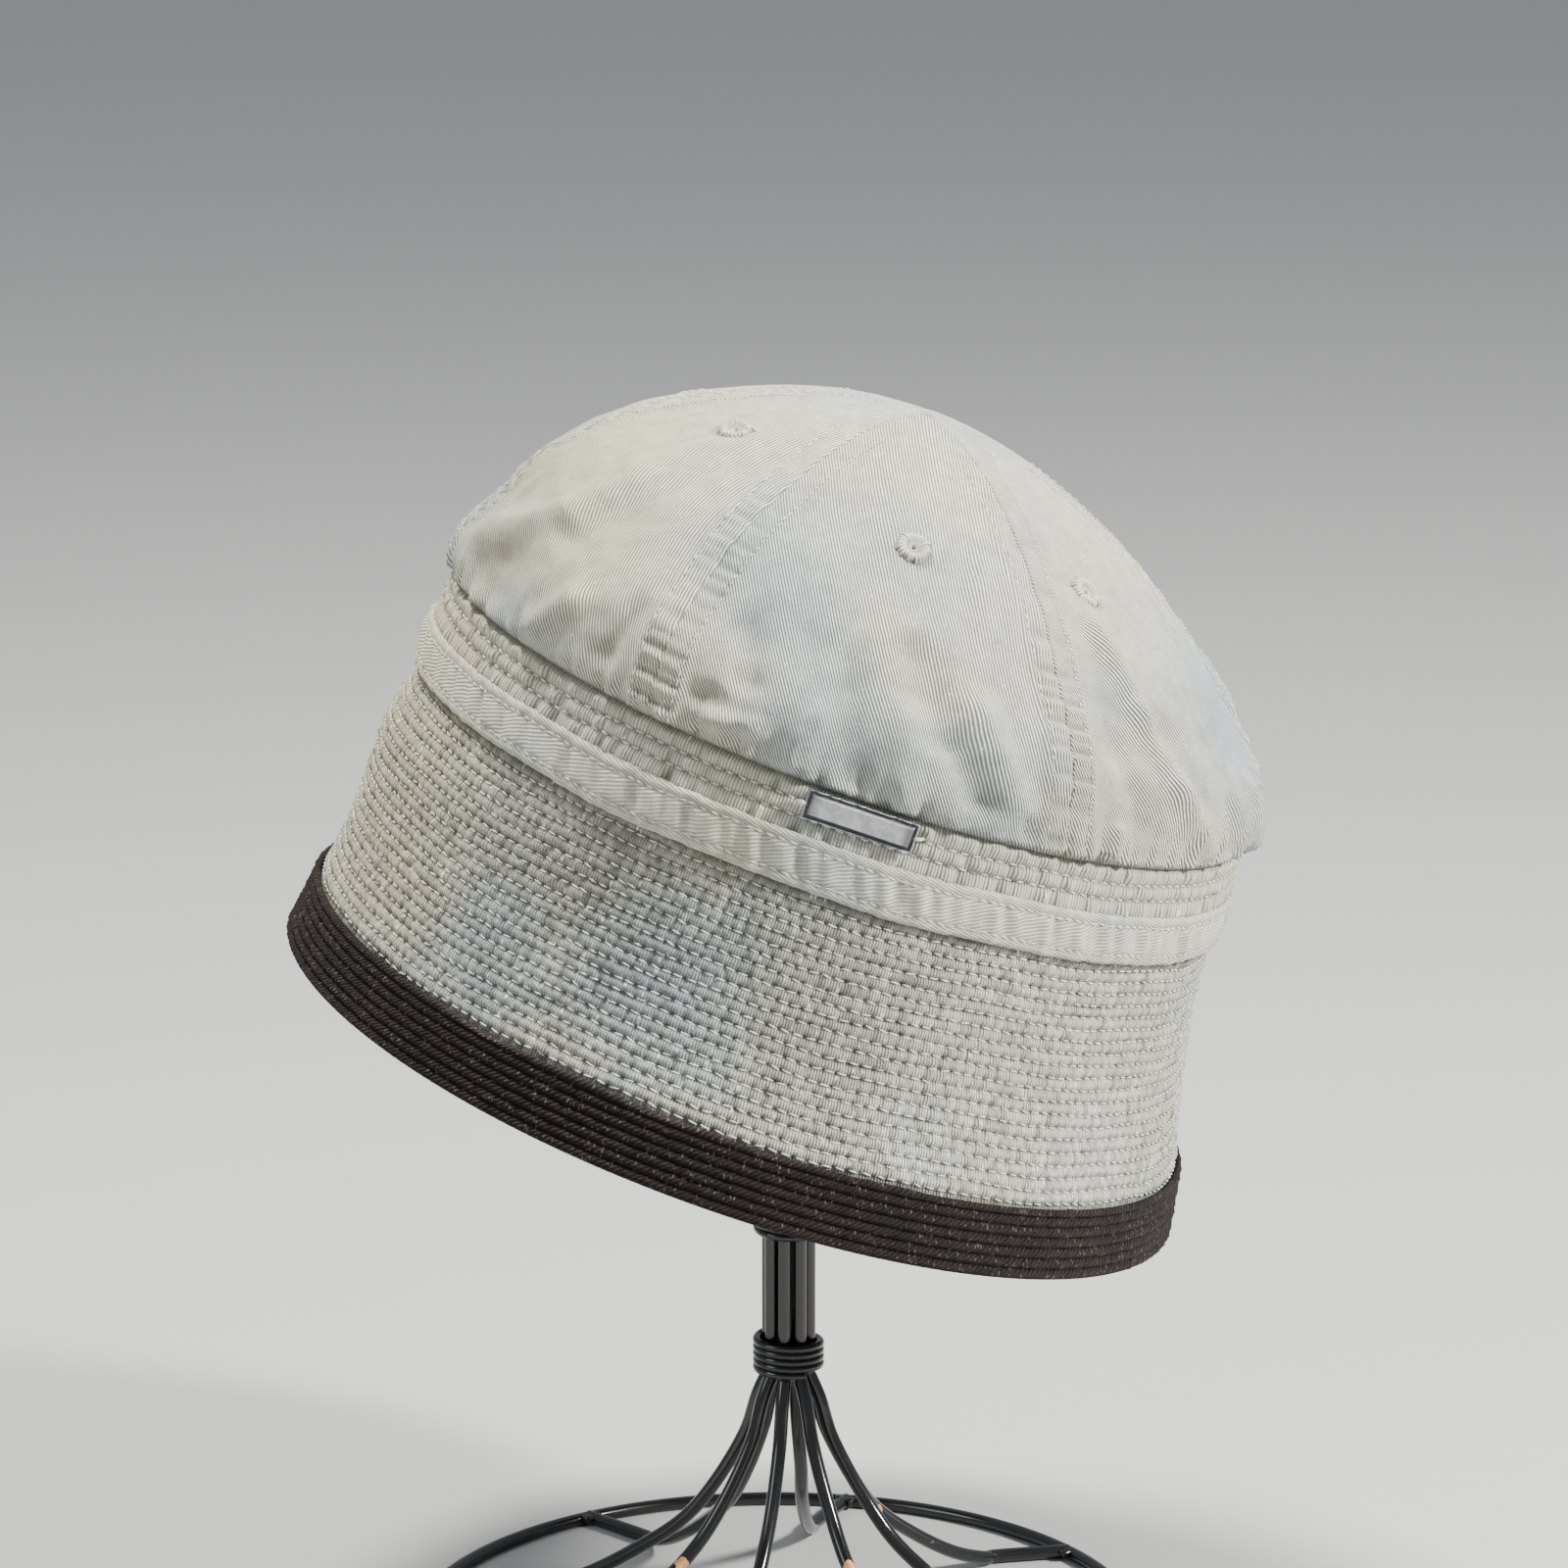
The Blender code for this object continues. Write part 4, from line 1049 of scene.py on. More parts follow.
def brimOut(turn, row, share):
    # puffed cloth between row and row + 1; share runs from 0 to 1 across it
    plump = 0.8 + 0.35 * ringNoise(turn, 7 * mm, 33, row) + 0.5 * brickChance(turn, row)
    slit = smoothStep((-0.55 - ringNoise(turn, 5.2 * mm, 35, row)) / 0.5)
    dome = np.sin(math.pi * np.clip(share, 0.0, 1.0)) ** 0.62
    out = brim["pillow"] * (dome * (np.clip(plump, 0.35, 1.8) - 0.55 * slit) - 0.6)
    nextRow = np.minimum(row + 1, brimRows)
    pull = needleHoles(turn, row) * bump(share, 0.42)
    return out - brim["pinch"] * (pull + needleHoles(turn, nextRow) * bump(1 - share, 0.42))


brimStitchCount = round(2 * math.pi * brim["middleRadius"] / brim["stitchPitch"])
brimStarts = np.random.default_rng(41).uniform(0.0, 1.0, brimRows + 2)
brickChances = np.random.default_rng(43).uniform(0.0, 1.0, (brimRows + 2, brimStitchCount))


def stitchPhase(turn, row):
    # counts the stitches along a row, whole at the needle holes
    return (turn + 180.0) / 360.0 * brimStitchCount - brimStarts[row]


def needleHoles(turn, row):
    # 1 where the thread dives in, 0 along the stitch
    phase = stitchPhase(turn, row)
    away = np.abs(phase - np.rint(phase)) * brim["stitchPitch"]
    return bump(away, brim["needle"])


def brickChance(turn, row):
    # the cloth over each stitch has a plumpness and a shade of its own, 0 to 1
    brick = np.floor(stitchPhase(turn, row)).astype(int) % brimStitchCount
    return brickChances[row, brick]


def makeBrim():
    low = hem["cloth"] + hat["gap"]
    steps = brim["rowSteps"]
    rows = np.arange(brimRows * steps + 1)
    heights = [low, hem["height"] - 3 * mm,
               *(hem["height"] + brim["firstRow"] + brim["rowPitch"] * rows / steps)]
    section = [(float(brimRadius(height)), height) for height in heights]
    top = bandLow - hat["gap"]
    section.append((bandOuter, top))
    section += [(float(brimRadius(height)) - brim["cloth"], height)
                for height in np.linspace(top, low, 9)]
    rest = len(section) - len(heights)
    heights = np.array(heights + [low] * rest)
    lines = np.concatenate([[-1, -1], rows // steps, np.full(rest, -1)])
    shares = np.concatenate([[0.0, 0.0], rows % steps / steps, np.zeros(rest)])

    def relief(turn, row):
        line, share = lines[row], shares[row]
        stitched = line >= 0
        layer = np.maximum(line, 0)
        after = np.minimum(layer + 1, brimRows)
        holes = (needleHoles(turn, layer) * bump(share, 0.26)
                 + needleHoles(turn, after) * bump(1 - share, 0.26))
        up = (1 - share) * rowWander(turn, layer) + share * rowWander(turn, after)
        valley = bump(np.minimum(share, 1 - share), 0.17)
        # random darker blotches along each row
        rowBlotches = np.clip(ringNoise(turn, 4.4 * mm, 36, layer) - 0.2, 0.0, 1.0)
        # painted shadow under the tape's lower edge
        shadowUnderTape = smoothStep((heights[row] - tapeLow + 2.6 * mm) / (2.4 * mm))
        # painted shade in the valleys, at the needle holes and under the tape, with random
        # blotches and darker bricks; the inside is painted darker as shade
        sink = np.clip(0.5 * valley + 0.6 * holes + 0.45 * rowBlotches + 0.7 * shadowUnderTape
                       + 0.3 * brickChance(turn, layer) ** 2, 0.0, 1.0)
        out = np.where(line < brimRows, brimOut(turn, layer, share), -0.5 * brim["pillow"])
        return (np.where(stitched, out, 0.0), np.where(stitched, up, 0.0),
                np.where(stitched, sink, 0.3))

    ready(makeHatRing(brim["columns"], section, relief), "brimCloth", brimCloth, "brim_cloth",
          "brim")


def makeBrimStitches():
    rows = []
    for row in range(brimRows + 1):
        faults = np.random.default_rng(100 + row).normal(0.0, 0.05, brimStitchCount)
        middle = np.arange(brimStitchCount) + 0.5 + brimStarts[row] + faults

        def surface(turn, row=row):
            height = rowHeight(turn, row)
            return hatPoint(turn, brimRadius(height) - 0.40 * brim["pillow"], height)

        rows.append(stitchRow(surface, 360.0 * middle / brimStitchCount - 180.0,
                              brim["tiltNoise"], 200 + row))
    sewRows("brimStitching", brim, rows)


makeBrim()
makeBrimStitches()
print("brim made")


# Tape: a folded strip with a stitch row along each edge
tapeRows = 18


def tapeShape(turn, share):
    # wandering height, outward relief and painted shade in the grooves and pucker hollows, across
    # the strip
    wander = 0.35 * mm * ringNoise(turn, 70 * mm, 51) + 0.12 * mm * ringNoise(turn, 9 * mm, 52)
    height = tapeLow + tape["height"] * share + wander
    edge = np.minimum(share, 1 - share) * tape["height"]
    rounding = -0.65 * tape["cloth"] * (1 - smoothStep(edge / (1.0 * mm))) ** 2
    line = np.abs(edge - tape["stitchIn"])
    valley = bump(line, 0.5 * mm)
    slanted = turn + 2.2 * (share - 0.5)
    pucker = ringNoise(slanted, 8 * mm, 53) * np.sin(math.pi * share) ** 0.8
    roll = 0.18 * mm * ringNoise(turn, 5 * mm, 54) * (1 - smoothStep(edge / (2 * mm)))
    out = rounding - 0.32 * mm * valley + 0.6 * mm * pucker * (1 - 0.7 * valley) + roll
    return height, out, np.maximum(valley, 0.55 * smoothStep((-0.4 - pucker) / 0.6))


def makeTape():
    section = [(tape["radius"], tapeLow + tape["height"] * row / tapeRows)
               for row in range(tapeRows + 1)]
    section += [(tape["radius"] - tape["cloth"], level)
                for level in (tapeHigh, (tapeLow + tapeHigh) / 2, tapeLow)]

    def relief(turn, row):
        share = np.clip(row / tapeRows, 0.0, 1.0)
        height, out, valley = tapeShape(turn, share)
        front = row <= tapeRows
        up = np.where(front, height - (tapeLow + tape["height"] * share), 0.0)
        # painted shade from the grooves and puckers; the back is painted darker as shade
        return np.where(front, out, 0.0), up, np.where(front, 0.8 * valley, 0.4)

    def shear(along):
        # the twill turns the other way on the folded edges
        low = np.minimum(along - tape["stitchIn"], 0.0)
        high = np.maximum(along - tape["height"] + tape["stitchIn"], 0.0)
        return tape["edgeShear"] * (low + np.minimum(high, tape["stitchIn"]))

    ready(makeHatRing(tape["columns"], section, relief, shear), "tapeStrip", tapeCloth,
          "tape_cloth", "tape")


def tapeLine(share):
    def surface(turn):
        height, out, _ = tapeShape(turn, share)
        return hatPoint(turn, tape["radius"] + out - 0.02 * mm, height)
    return surface


makeTape()
tapeEdge = tape["stitchIn"] / tape["height"]
ringStitches("tapeStitching", tape, [tapeLine(tapeEdge), tapeLine(1 - tapeEdge)], 0.05, 300,
             tape["radius"])
print("tape made")


# Band: gathered cloth in three soft ridges
bandRows = 24


def bandShape(turn, share):
    # radius, relief and painted shade of the band's face from the tape's top to the crown
    lean = (bandOuter - bandInside) * 0.5
    first, second = band["valleys"]
    cuts = np.array([-0.28, first, second, 1.12])
    ridge = np.clip(np.searchsorted(cuts, share) - 1, 0, 2)
    inside = (share - cuts[ridge]) / (cuts[ridge + 1] - cuts[ridge])
    dome = np.sin(math.pi * np.clip(inside, 0.0, 1.0)) ** 0.6
    gather = ringNoise(turn, 6.2 * mm, 61, ridge) + 0.5 * ringNoise(turn, 2.9 * mm, 62, ridge)
    crease = smoothStep((-0.45 - gather) / 1.1)
    out = (band["ridge"] * (dome - 0.72)
           + band["gather"] * (gather - 0.6 * crease) * dome)
    # painted shade along the stitch rows and in the gathers' creases
    valley = bump(np.minimum(np.abs(share - first), np.abs(share - second))
                  * band["height"], 0.45 * mm)
    valley = np.maximum(valley, 0.4 * crease)
    wander = 0.25 * mm * ringNoise(turn, 60 * mm, 63)
    return bandOuter - lean * share + out, wander, valley


def makeBand():
    section = [(bandOuter, bandLow), (bandOuter, tapeHigh - 1.0 * mm)]
    first = len(section)
    section += [(bandOuter, tapeHigh + band["height"] * row / bandRows)
                for row in range(bandRows + 1)]
    last = len(section) - 1
    section += [(bandInside - hat["gap"], seamLevel + band["tuck"]),
                (bandInside - hat["gap"] - band["cloth"], seamLevel + band["tuck"]),
                (bandInside - band["cloth"], seamLevel),
                (bandOuter - band["cloth"] - 0.4 * mm, tapeHigh + band["height"] / 2),
                (bandOuter - band["cloth"], tapeHigh),
                (bandOuter - band["cloth"], bandLow)]

    def relief(turn, row):
        front = (row >= first) & (row <= last)
        share = np.clip((row - first) / bandRows, 0.0, 1.0)
        radius, wander, valley = bandShape(turn, share)
        # the top slips under the crown, and is painted dark there as the crown's shadow
        slip = smoothStep((share - 0.86) / 0.14)
        out = (radius - bandOuter) * (1 - slip) + (bandInside - bandOuter) * slip
        # painted shade in valleys and creases and under the crown; the back is painted darker as
        # shade
        sink = np.clip(valley + 0.9 * slip, 0.0, 1.0)
        return (np.where(front, out, 0.0),
                np.where(front, wander * np.sin(math.pi * share), 0.0),
                np.where(front, sink, 0.4))

    ready(makeHatRing(band["columns"], section, relief), "bandGathered", bandCloth,
          "brim_cloth", "band")


def bandLine(share):
    def surface(turn):
        radius, wander, _ = bandShape(turn, np.full_like(turn, share))
        height = tapeHigh + band["height"] * share + wander * math.sin(math.pi * share)
        return hatPoint(turn, radius + 0.1 * mm, height)
    return surface


makeBand()
ringStitches("bandStitching", band, [bandLine(share) for share in band["valleys"]], 0.06, 340,
             bandOuter)
print("band made")


# Crown panels, each over the right edge of the one before it
def panelPlace(number, column, row):
    # turn, rise, outward lift and painted shade of a point of one panel
    start = crown["start"] + (number - 1) * panelWidth
    columns, strip = crown["columns"], crown["seamColumns"]
    rise = 1 - (1 - row / crown["rows"]) ** 1.25
    here = profileRadius(rise)
    strap = crown["allowance"] + crown["allowanceEdge"]
    seam = np.minimum(np.degrees(strap / here), 0.2 * panelWidth)
    under = np.minimum(np.degrees(crown["tuckUnder"] / here), 0.1 * panelWidth)
    knots = np.array([0, strip, columns - strip, columns])
    part = np.clip(np.searchsorted(knots, column) - 1, 0, 2)
    share = (column - knots[part]) / np.diff(knots)[part]
    begin = np.choose(part, [0.0 * seam, seam, panelWidth - seam])
    turn = start + begin + share * np.choose(part, [seam, panelWidth - 2 * seam, seam + under])
    fromLeft = np.radians(turn - start) * here
    fromRight = np.radians(start + panelWidth - turn) * here
    fade = smoothStep((1 - rise) / 0.25)
    lift = -0.12 * mm * (1 - smoothStep(fromLeft / (0.4 * mm)))
    valley = 0.0
    for x in (fromLeft, fromRight):
        raised = (0.6 + 0.4 * smoothStep(x / (0.6 * mm))) * (
            1 - smoothStep((x - crown["allowance"]) / crown["allowanceEdge"]))
        thread = bump(x - crown["stitchLine"], 0.45 * mm)
        lift = lift + fade * (crown["allowanceRise"] * raised - 0.22 * mm * thread)
        valley = valley + fade * thread
    # the right edge slides under the next panel, the bottom edge folds in
    lift = lift - 0.6 * mm * smoothStep((0.25 * mm - fromRight) / (0.7 * mm))
    fold = 1 - smoothStep(rise * crownClimb / (2.3 * mm))
    lift = lift - 1.1 * mm * fold ** 2
    groove = bump(np.maximum(fromRight, 0.0), 0.5 * mm) + bump(fromLeft, 0.3 * mm)
    slits = seamPuckers(turn, rise)[1]
    hollow = np.clip(-foldRelief(turn, rise) / (2.4 * mm), 0.0, 1.0)
    # painted shade along the thread lines, at the seam edges, in the bottom fold, in the pucker
    # slits and in the fold hollows
    sink = 0.35 * valley + 0.1 * groove + fold + 0.8 * slits + 0.22 * hollow
    return turn, rise, lift, np.clip(sink, 0.0, 1.0)


def makePanel(number):
    middle = crown["start"] + (number - 0.5) * panelWidth
    tip = crownRaw(np.array([0.0, 180.0]), np.array([1.0, 1.0])).mean(axis=0)

    def shape(column, row):
        turn, rise, lift, sink = panelPlace(number, column, row)
        points = crownPoint(turn, rise, lift)
        points = np.where((row == crown["rows"])[:, None], tip, points)
        here = profileRadius(rise)
        # each panel is cut from its own part of the cloth
        across = np.radians(turn - middle) * here + 0.21 * number
        return points, np.stack([across, rise * 1.3 * crown["height"]], axis=-1), sink

    piece = makeGrid(crown["columns"], crown["rows"], shape)
    applyModifier(piece, "SOLIDIFY", thickness=crown["cloth"] - 0.25 * mm, offset=-1.0)
    return ready(piece, f"crownPanel{number}", crownCloth, "crown_cloth",
                 f"crown_panel_{number}")


def makeSeamStitches():
    # one fine thread row down each side of every seam
    rows = []
    rises = np.linspace(0.01, 0.95, 400)
    here = profileRadius(rises)
    lift = (crown["allowanceRise"] - 0.18 * mm) * smoothStep((1 - rises) / 0.25) + 0.02 * mm
    offset = np.minimum(np.degrees(crown["stitchLine"] / here), 0.17 * panelWidth)
    for number in range(2 * crown["panels"]):
        seam, side = number // 2, 2 * (number % 2) - 1
        turn = crown["start"] + seam * panelWidth + side * offset
        line = crownPoint(turn, rises, lift)
        steps = np.linalg.norm(np.diff(line, axis=0), axis=1)
        length = np.concatenate([[0.0], np.cumsum(steps)])
        count = int(length[-1] / crown["stitchPitch"])
        faults = np.random.default_rng(400 + number).normal(0.0, 0.05, count)
        runs = (np.arange(count) + 0.5 + faults) * crown["stitchPitch"]
        places, ahead, outward = (
            np.stack([np.interp(at, length, axis) for axis in curve.T], axis=-1)
            for at, curve in ((runs, line), (runs + 0.4 * mm, line),
                              (runs, crownNormal(turn, rises))))
        rows.append((places, ahead - places, outward))
    sewRows("crownStitching", crown, rows)


# Eyelets: places, and the radial stitches round each vent
eyeletPlaces = [
    # turn from the panel's middle, rise
    (1.5, 0.718),
    (-13.5, 0.720),
    (0.0, 0.730),
    (0.0, 0.730),
    (0.0, 0.730),
    (3.5, 0.805),
]
eyelet = {
    "hole": 0.5 * mm,
    "threads": 27,
    "threadColumns": 6,
    "threadDepth": 0.34 * mm,
    "cross": [
        # radius, height above the cloth, share of the threads' relief
        (0.50 * mm, -1.9 * mm, 0.0),
        (0.55 * mm, -0.9 * mm, 0.0),
        (0.62 * mm, -0.10 * mm, 0.1),
        (0.95 * mm, 0.28 * mm, 0.6),
        (1.35 * mm, 0.36 * mm, 0.9),
        (1.70 * mm, 0.26 * mm, 1.0),
        (2.00 * mm, 0.50 * mm, 1.0),
        (2.40 * mm, 0.82 * mm, 1.0),
        (2.90 * mm, 0.92 * mm, 1.0),
        (3.35 * mm, 0.72 * mm, 1.0),
        (3.70 * mm, 0.34 * mm, 1.0),
        (3.95 * mm, -0.08 * mm, 0.8),
        (3.95 * mm, -0.60 * mm, 0.0),
        (2.20 * mm, -0.80 * mm, 0.0),
        (0.80 * mm, -1.90 * mm, 0.0),
    ],
}


def makeEyelet(number, panel):
    # a ring of radial thread stitches, worked round a vent that is cut through the panel
    turn, rise = (np.array([value]) for value in eyeletPlaces[number - 1])
    turn = turn + crown["start"] + (number - 0.5) * panelWidth
    middle, normal = crownPoint(turn, rise)[0], crownNormal(turn, rise)[0]
    around = unit(np.cross((0.0, 0.0, 1.0), normal))
    up = np.cross(normal, around)
    cutter = addShape(bpy.ops.mesh.primitive_cylinder_add, vertices=14, depth=8 * mm,
                      radius=eyelet["hole"] + 0.15 * mm)
    cutter.matrix_world = hatMatrix(middle, around, up, normal)
    applyModifier(panel, "BOOLEAN", operation="DIFFERENCE", object=cutter)
    bpy.data.objects.remove(cutter, do_unlink=True)

    random = np.random.default_rng(500 + number)
    threads, steps = eyelet["threads"], eyelet["threadColumns"]
    columns = threads * steps
    reach = random.uniform(0.98, 1.16, threads)
    height = random.uniform(0.85, 1.25, threads)
    lean = random.uniform(-0.5, 0.5, threads)
    table = np.array(eyelet["cross"] + eyelet["cross"][:1])

    def shape(column, row):
        thread = column % columns // steps
        radius, lift, relief = table[row].T
        outer = smoothStep((radius - 1.8 * mm) / (1.6 * mm))
        radius = radius * (1 + outer * (reach[thread] - 1))
        ridge = np.sin(math.pi * (column % steps) / steps)
        lift = np.where(relief > 0, lift * height[thread], lift)
        lift = lift + eyelet["threadDepth"] * relief * (ridge - 0.7)
        angle = -2 * math.pi * (column % columns + lean[thread] * outer) / columns
        points = (middle + (radius * np.cos(angle))[:, None] * around
                  + (radius * np.sin(angle))[:, None] * up + lift[:, None] * normal)
        # painted shade between the threads, in the hole, in a ring round it and at the outer edge
        sink = np.clip(0.9 * relief * (1 - ridge) ** 1.3 + 0.8 * (radius < 0.6 * mm)
                       + 0.4 * bump(radius - 1.5 * mm, 0.3 * mm)
                       + 0.5 * smoothStep((radius - 3.3 * mm) / (0.6 * mm)), 0.0, 1.0)
        return points, np.stack([radius, lift], axis=-1), sink

    ready(makeGrid(columns, len(eyelet["cross"]), shape), f"eyelet{number}", eyeletThread,
          "thread", f"eyelet_{number}")


for number in range(1, crown["panels"] + 1):
    makeEyelet(number, makePanel(number))
makeSeamStitches()
print("crown made")


# Bare plate on the band, with a thread loop at each end
plate = {
    "width": 25.0 * mm,
    "height": 6.6 * mm,
    "back": 0.7 * mm,
    "turn": 1.8,
    "rim": 0.26 * mm,
    "groove": 1.15 * mm,
    "grooveDepth": 0.45 * mm,
    "fieldRise": 0.45 * mm,     # the field stands this far above the rim
    "cuts": 48,                 # across its length
    "bevel": 0.14 * mm,
    "darkEnds": 10.2 * mm,      # painted shade: the field darkens from here to its ends
    "loopThread": 0.42 * mm,
    "loopSpan": 2.4 * mm,
    "loopRise": 1.2 * mm,
}
plateLevel = seamLevel - hat["gap"] - plate["height"] / 2
plateOut = max(bandOuter, crownRadius) + hat["gap"]


def plateMaterial():
    # worn pewter: pale worn field with painted shade toward its ends, dark groove, fine scratches
    # and pits
    material, place = startMaterial("wornPewter")
    cloudy = place.noise(420.0, 4.0, 0.6)
    pits = place.noise(3200.0, 3.0, 0.7)
    lines = place.into("Mapping", Rotation=(0.0, math.radians(hat["tilt"]), 0.0),
                       Scale=(260.0, 260.0, 5200.0)).noise(1.0, 2.0, 0.6)
    colour = cloudy.ramp(0.36, 0.64).mix((0.60, 0.60, 0.59), (0.40, 0.41, 0.425))
    colour = pits.ramp(0.52, 0.68, 0.0, 0.65).mix(colour, (0.16, 0.165, 0.18))
    return finishMaterial(material, pits * 0.7 + lines * 0.5, 0.05 * mm, 0.6,
                          Base_Color=paintedShadeOf(material).mix(colour, (0.035, 0.042, 0.055)),
                          Roughness=lines * 0.35 + cloudy.ramp(0.3, 0.7, 0.20, 0.36),
                          Metallic=0.9)


def makePlate():
    piece = addShape(bpy.ops.mesh.primitive_cube_add, size=1.0)
    for vertex in piece.data.vertices:
        vertex.co = (vertex.co.x * plate["width"], vertex.co.y * plate["height"],
                     (vertex.co.z + 0.5) * plate["back"])
    insetTop(piece, ((plate["rim"], 0.0), (0.10 * mm, -plate["grooveDepth"]),
                     (plate["groove"] - 0.75 * mm, 0.0),
                     (0.55 * mm, plate["grooveDepth"] + plate["fieldRise"]), (0.2 * mm, 0.0)))
    cuts = plate["cuts"]
    for cut in range(1, cuts):
        editAll(lambda: bpy.ops.mesh.bisect(
            plane_co=((cut / cuts - 0.5) * plate["width"], 0.0, 0.0), plane_no=(1.0, 0.0, 0.0)))
    applyModifier(piece, "BEVEL", width=plate["bevel"], segments=3, limit_method="ANGLE")
    # dents along the thin rim, and a field that is not quite flat, painted darker toward its ends
    # as shade
    nicks = np.random.default_rng(7).uniform(-1.0, 1.0, (cuts + 1, 2))
    grooveFloor = plate["back"] - plate["grooveDepth"]
    sink = []
    for vertex in piece.data.vertices:
        x, y, z = vertex.co
        edge = min(plate["width"] / 2 - abs(x), plate["height"] / 2 - abs(y))
        nick = nicks[round((x / plate["width"] + 0.5) * cuts), int(y > 0)]
        onRim = z > 0.3 * mm and edge < plate["rim"] + 0.05 * mm
        if onRim:
            vertex.co.z += (0.05 * nick - 0.30 * (nick > 0.55)) * mm
            vertex.co.y += 0.06 * nick * mm
        if z > plate["back"] + 0.3 * mm:
            vertex.co.z += 0.05 * mm * math.sin(x / (4.1 * mm)) * math.cos(y / (1.7 * mm))
        ends = smoothStep((abs(x) - plate["darkEnds"] + 1.5 * mm) / (2.4 * mm))
        inGroove = 0.1 * mm < z < grooveFloor + 0.15 * mm and not onRim
        # darker in the groove and on the rim's dents, with painted shade toward the field's ends
        sink.append(0.92 if inGroove else 0.6 * (nick > 0.55) if onRim else 0.55 * ends)
    setPaintedShade(piece.data, sink)
    angle = math.radians(plate["turn"])
    place = hatPoint(np.array([plate["turn"]]), plateOut, np.array([plateLevel]))[0]
    piece.data.transform(hatMatrix(place, (math.cos(angle), math.sin(angle), 0.0),
                                   (0.0, 0.0, 1.0), (math.sin(angle), -math.cos(angle), 0.0)))
    selectOnly(piece)
    bpy.ops.object.shade_smooth_by_angle(angle=math.radians(32))
    ready(piece, "frontPlate", plateMaterial(), "pewter", "name_plate")


def makeTube(points, radius, sides, swells=None):
    # a round wire or thread through points, as a mesh
    line = bpy.data.curves.new("line", "CURVE")
    line.dimensions = "3D"
    line.bevel_depth = radius
    line.bevel_resolution = (sides - 4) // 2
    line.use_fill_caps = True
    knots = line.splines.new("POLY").points
    knots.add(len(points) - 1)
    for knot, point, swell in zip(knots, points, swells or [1.0] * len(points)):
        knot.co = (*point, 1.0)
        knot.radius = swell
    addObject(line)
    bpy.ops.object.convert(target="MESH")
    editAll(lambda: bpy.ops.mesh.remove_doubles(threshold=0.005 * mm),
            lambda: bpy.ops.mesh.normals_make_consistent(inside=False))
    bpy.ops.object.shade_smooth_by_angle(angle=math.radians(50))
    return bpy.context.object


def makeLoops():
    out = plateOut + plate["loopThread"] - 0.5 * mm
    half = math.degrees(plate["width"] / 2 / plateOut)
    shares = [step / 14 for step in range(15)]
    for name, node, side in (("plateLoopLeft", "plate_stitch_left", -1),
                             ("plateLoopRight", "plate_stitch_right", 1)):
        points = []
        for share in shares:
            reach = (plate["loopSpan"] * share - 0.5 * mm) / plateOut
            turn = np.array([plate["turn"] + side * (half + math.degrees(reach))])
            rise = math.sin(math.pi * (0.12 + 0.88 * share)) * plate["loopRise"]
            level = np.array([plateLevel + side * 0.3 * mm * share])
            points.append(Vector(toRoom(hatPoint(turn, out + rise, level))[0]))
        swells = [0.8 + 0.25 * math.sin(math.pi * share) for share in shares]
        ready(makeTube(points, plate["loopThread"], 10, swells), name, paleThread, "thread",
              node)


makePlate()
makeLoops()
print("plate made")


# Wire stand
stand = {
    "wires": 8,
    "wire": 3.3 * mm,
    "ringRadius": 85.8 * mm,
    "ringShift": 2.8 * mm,
    "footLift": 0.2 * mm,
    "touchRadius": 67.3 * mm,
    "collarHeight": 9.6 * mm,
    "collarTurns": 5,
    "collarLow": 64.0 * mm,
    "collarHigh": 98.0 * mm,
    "headRadius": 40.0 * mm,
    "capRadius": 9.0 * mm,
    "capHeight": 3.4 * mm,
    "weld": 1.5 * mm,
    "jointTurn": 11.7,
}
neckRadius = (stand["wire"] + hat["gap"]) / (2 * math.sin(math.pi / stand["wires"]))
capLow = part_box("head_cap")[0][2]
wireTop = capLow - hat["gap"] - stand["wire"] / 4
legPath = [
    # out, up
    (0.000, 1.000),
    (0.044, 0.900),
    (0.095, 0.740),
    (0.217, 0.525),
    (0.360, 0.350),
    (0.581, 0.185),
    (0.773, 0.070),
    (0.934, 0.008),
]
legBends = [-6.2, -7.1, 7.4, 3.1, 3.4, 2.1, 9.0, 1.7]
legSteps, headSteps = 6, 5
headPath = [
    # up, out
    (0.00, 0.00),
    (0.06, 0.14),
    (0.18, 0.50),
    (0.34, 0.84),
    (0.52, 1.00),
    (0.70, 0.94),
    (0.85, 0.68),
    (0.94, 0.34),
    (0.98, 0.11),
    (1.00, 0.08),
]


def aroundNeck(turn, radius, height):
    # degrees from the back toward the right
    angle = math.radians(turn)
    return Vector((radius * math.sin(angle), radius * math.cos(angle), height))


def smoothPath(corners, steps):
    points = []
    last = len(corners) - 1
    for index in range(last):
        a = corners[max(index - 1, 0)]
        b = corners[index]
        c = corners[index + 1]
        d = corners[min(index + 2, last)]
        for step in range(steps):
            t = step / steps
            points.append(0.5 * (2 * b + (c - a) * t + (2 * a - 5 * b + 4 * c - d) * t**2
                                 + (3 * b - a - 3 * c + d) * t**3))
    points.append(corners[last])
    return points


def jointPoint(number):
    joint = stand["jointTurn"] + (number - 1) * 360.0 / stand["wires"]
    floor = stand["wire"] / 2 + stand["footLift"]
    return joint, aroundNeck(joint, stand["ringRadius"], floor) - Vector(
        (stand["ringShift"], 0.0, 0.0))


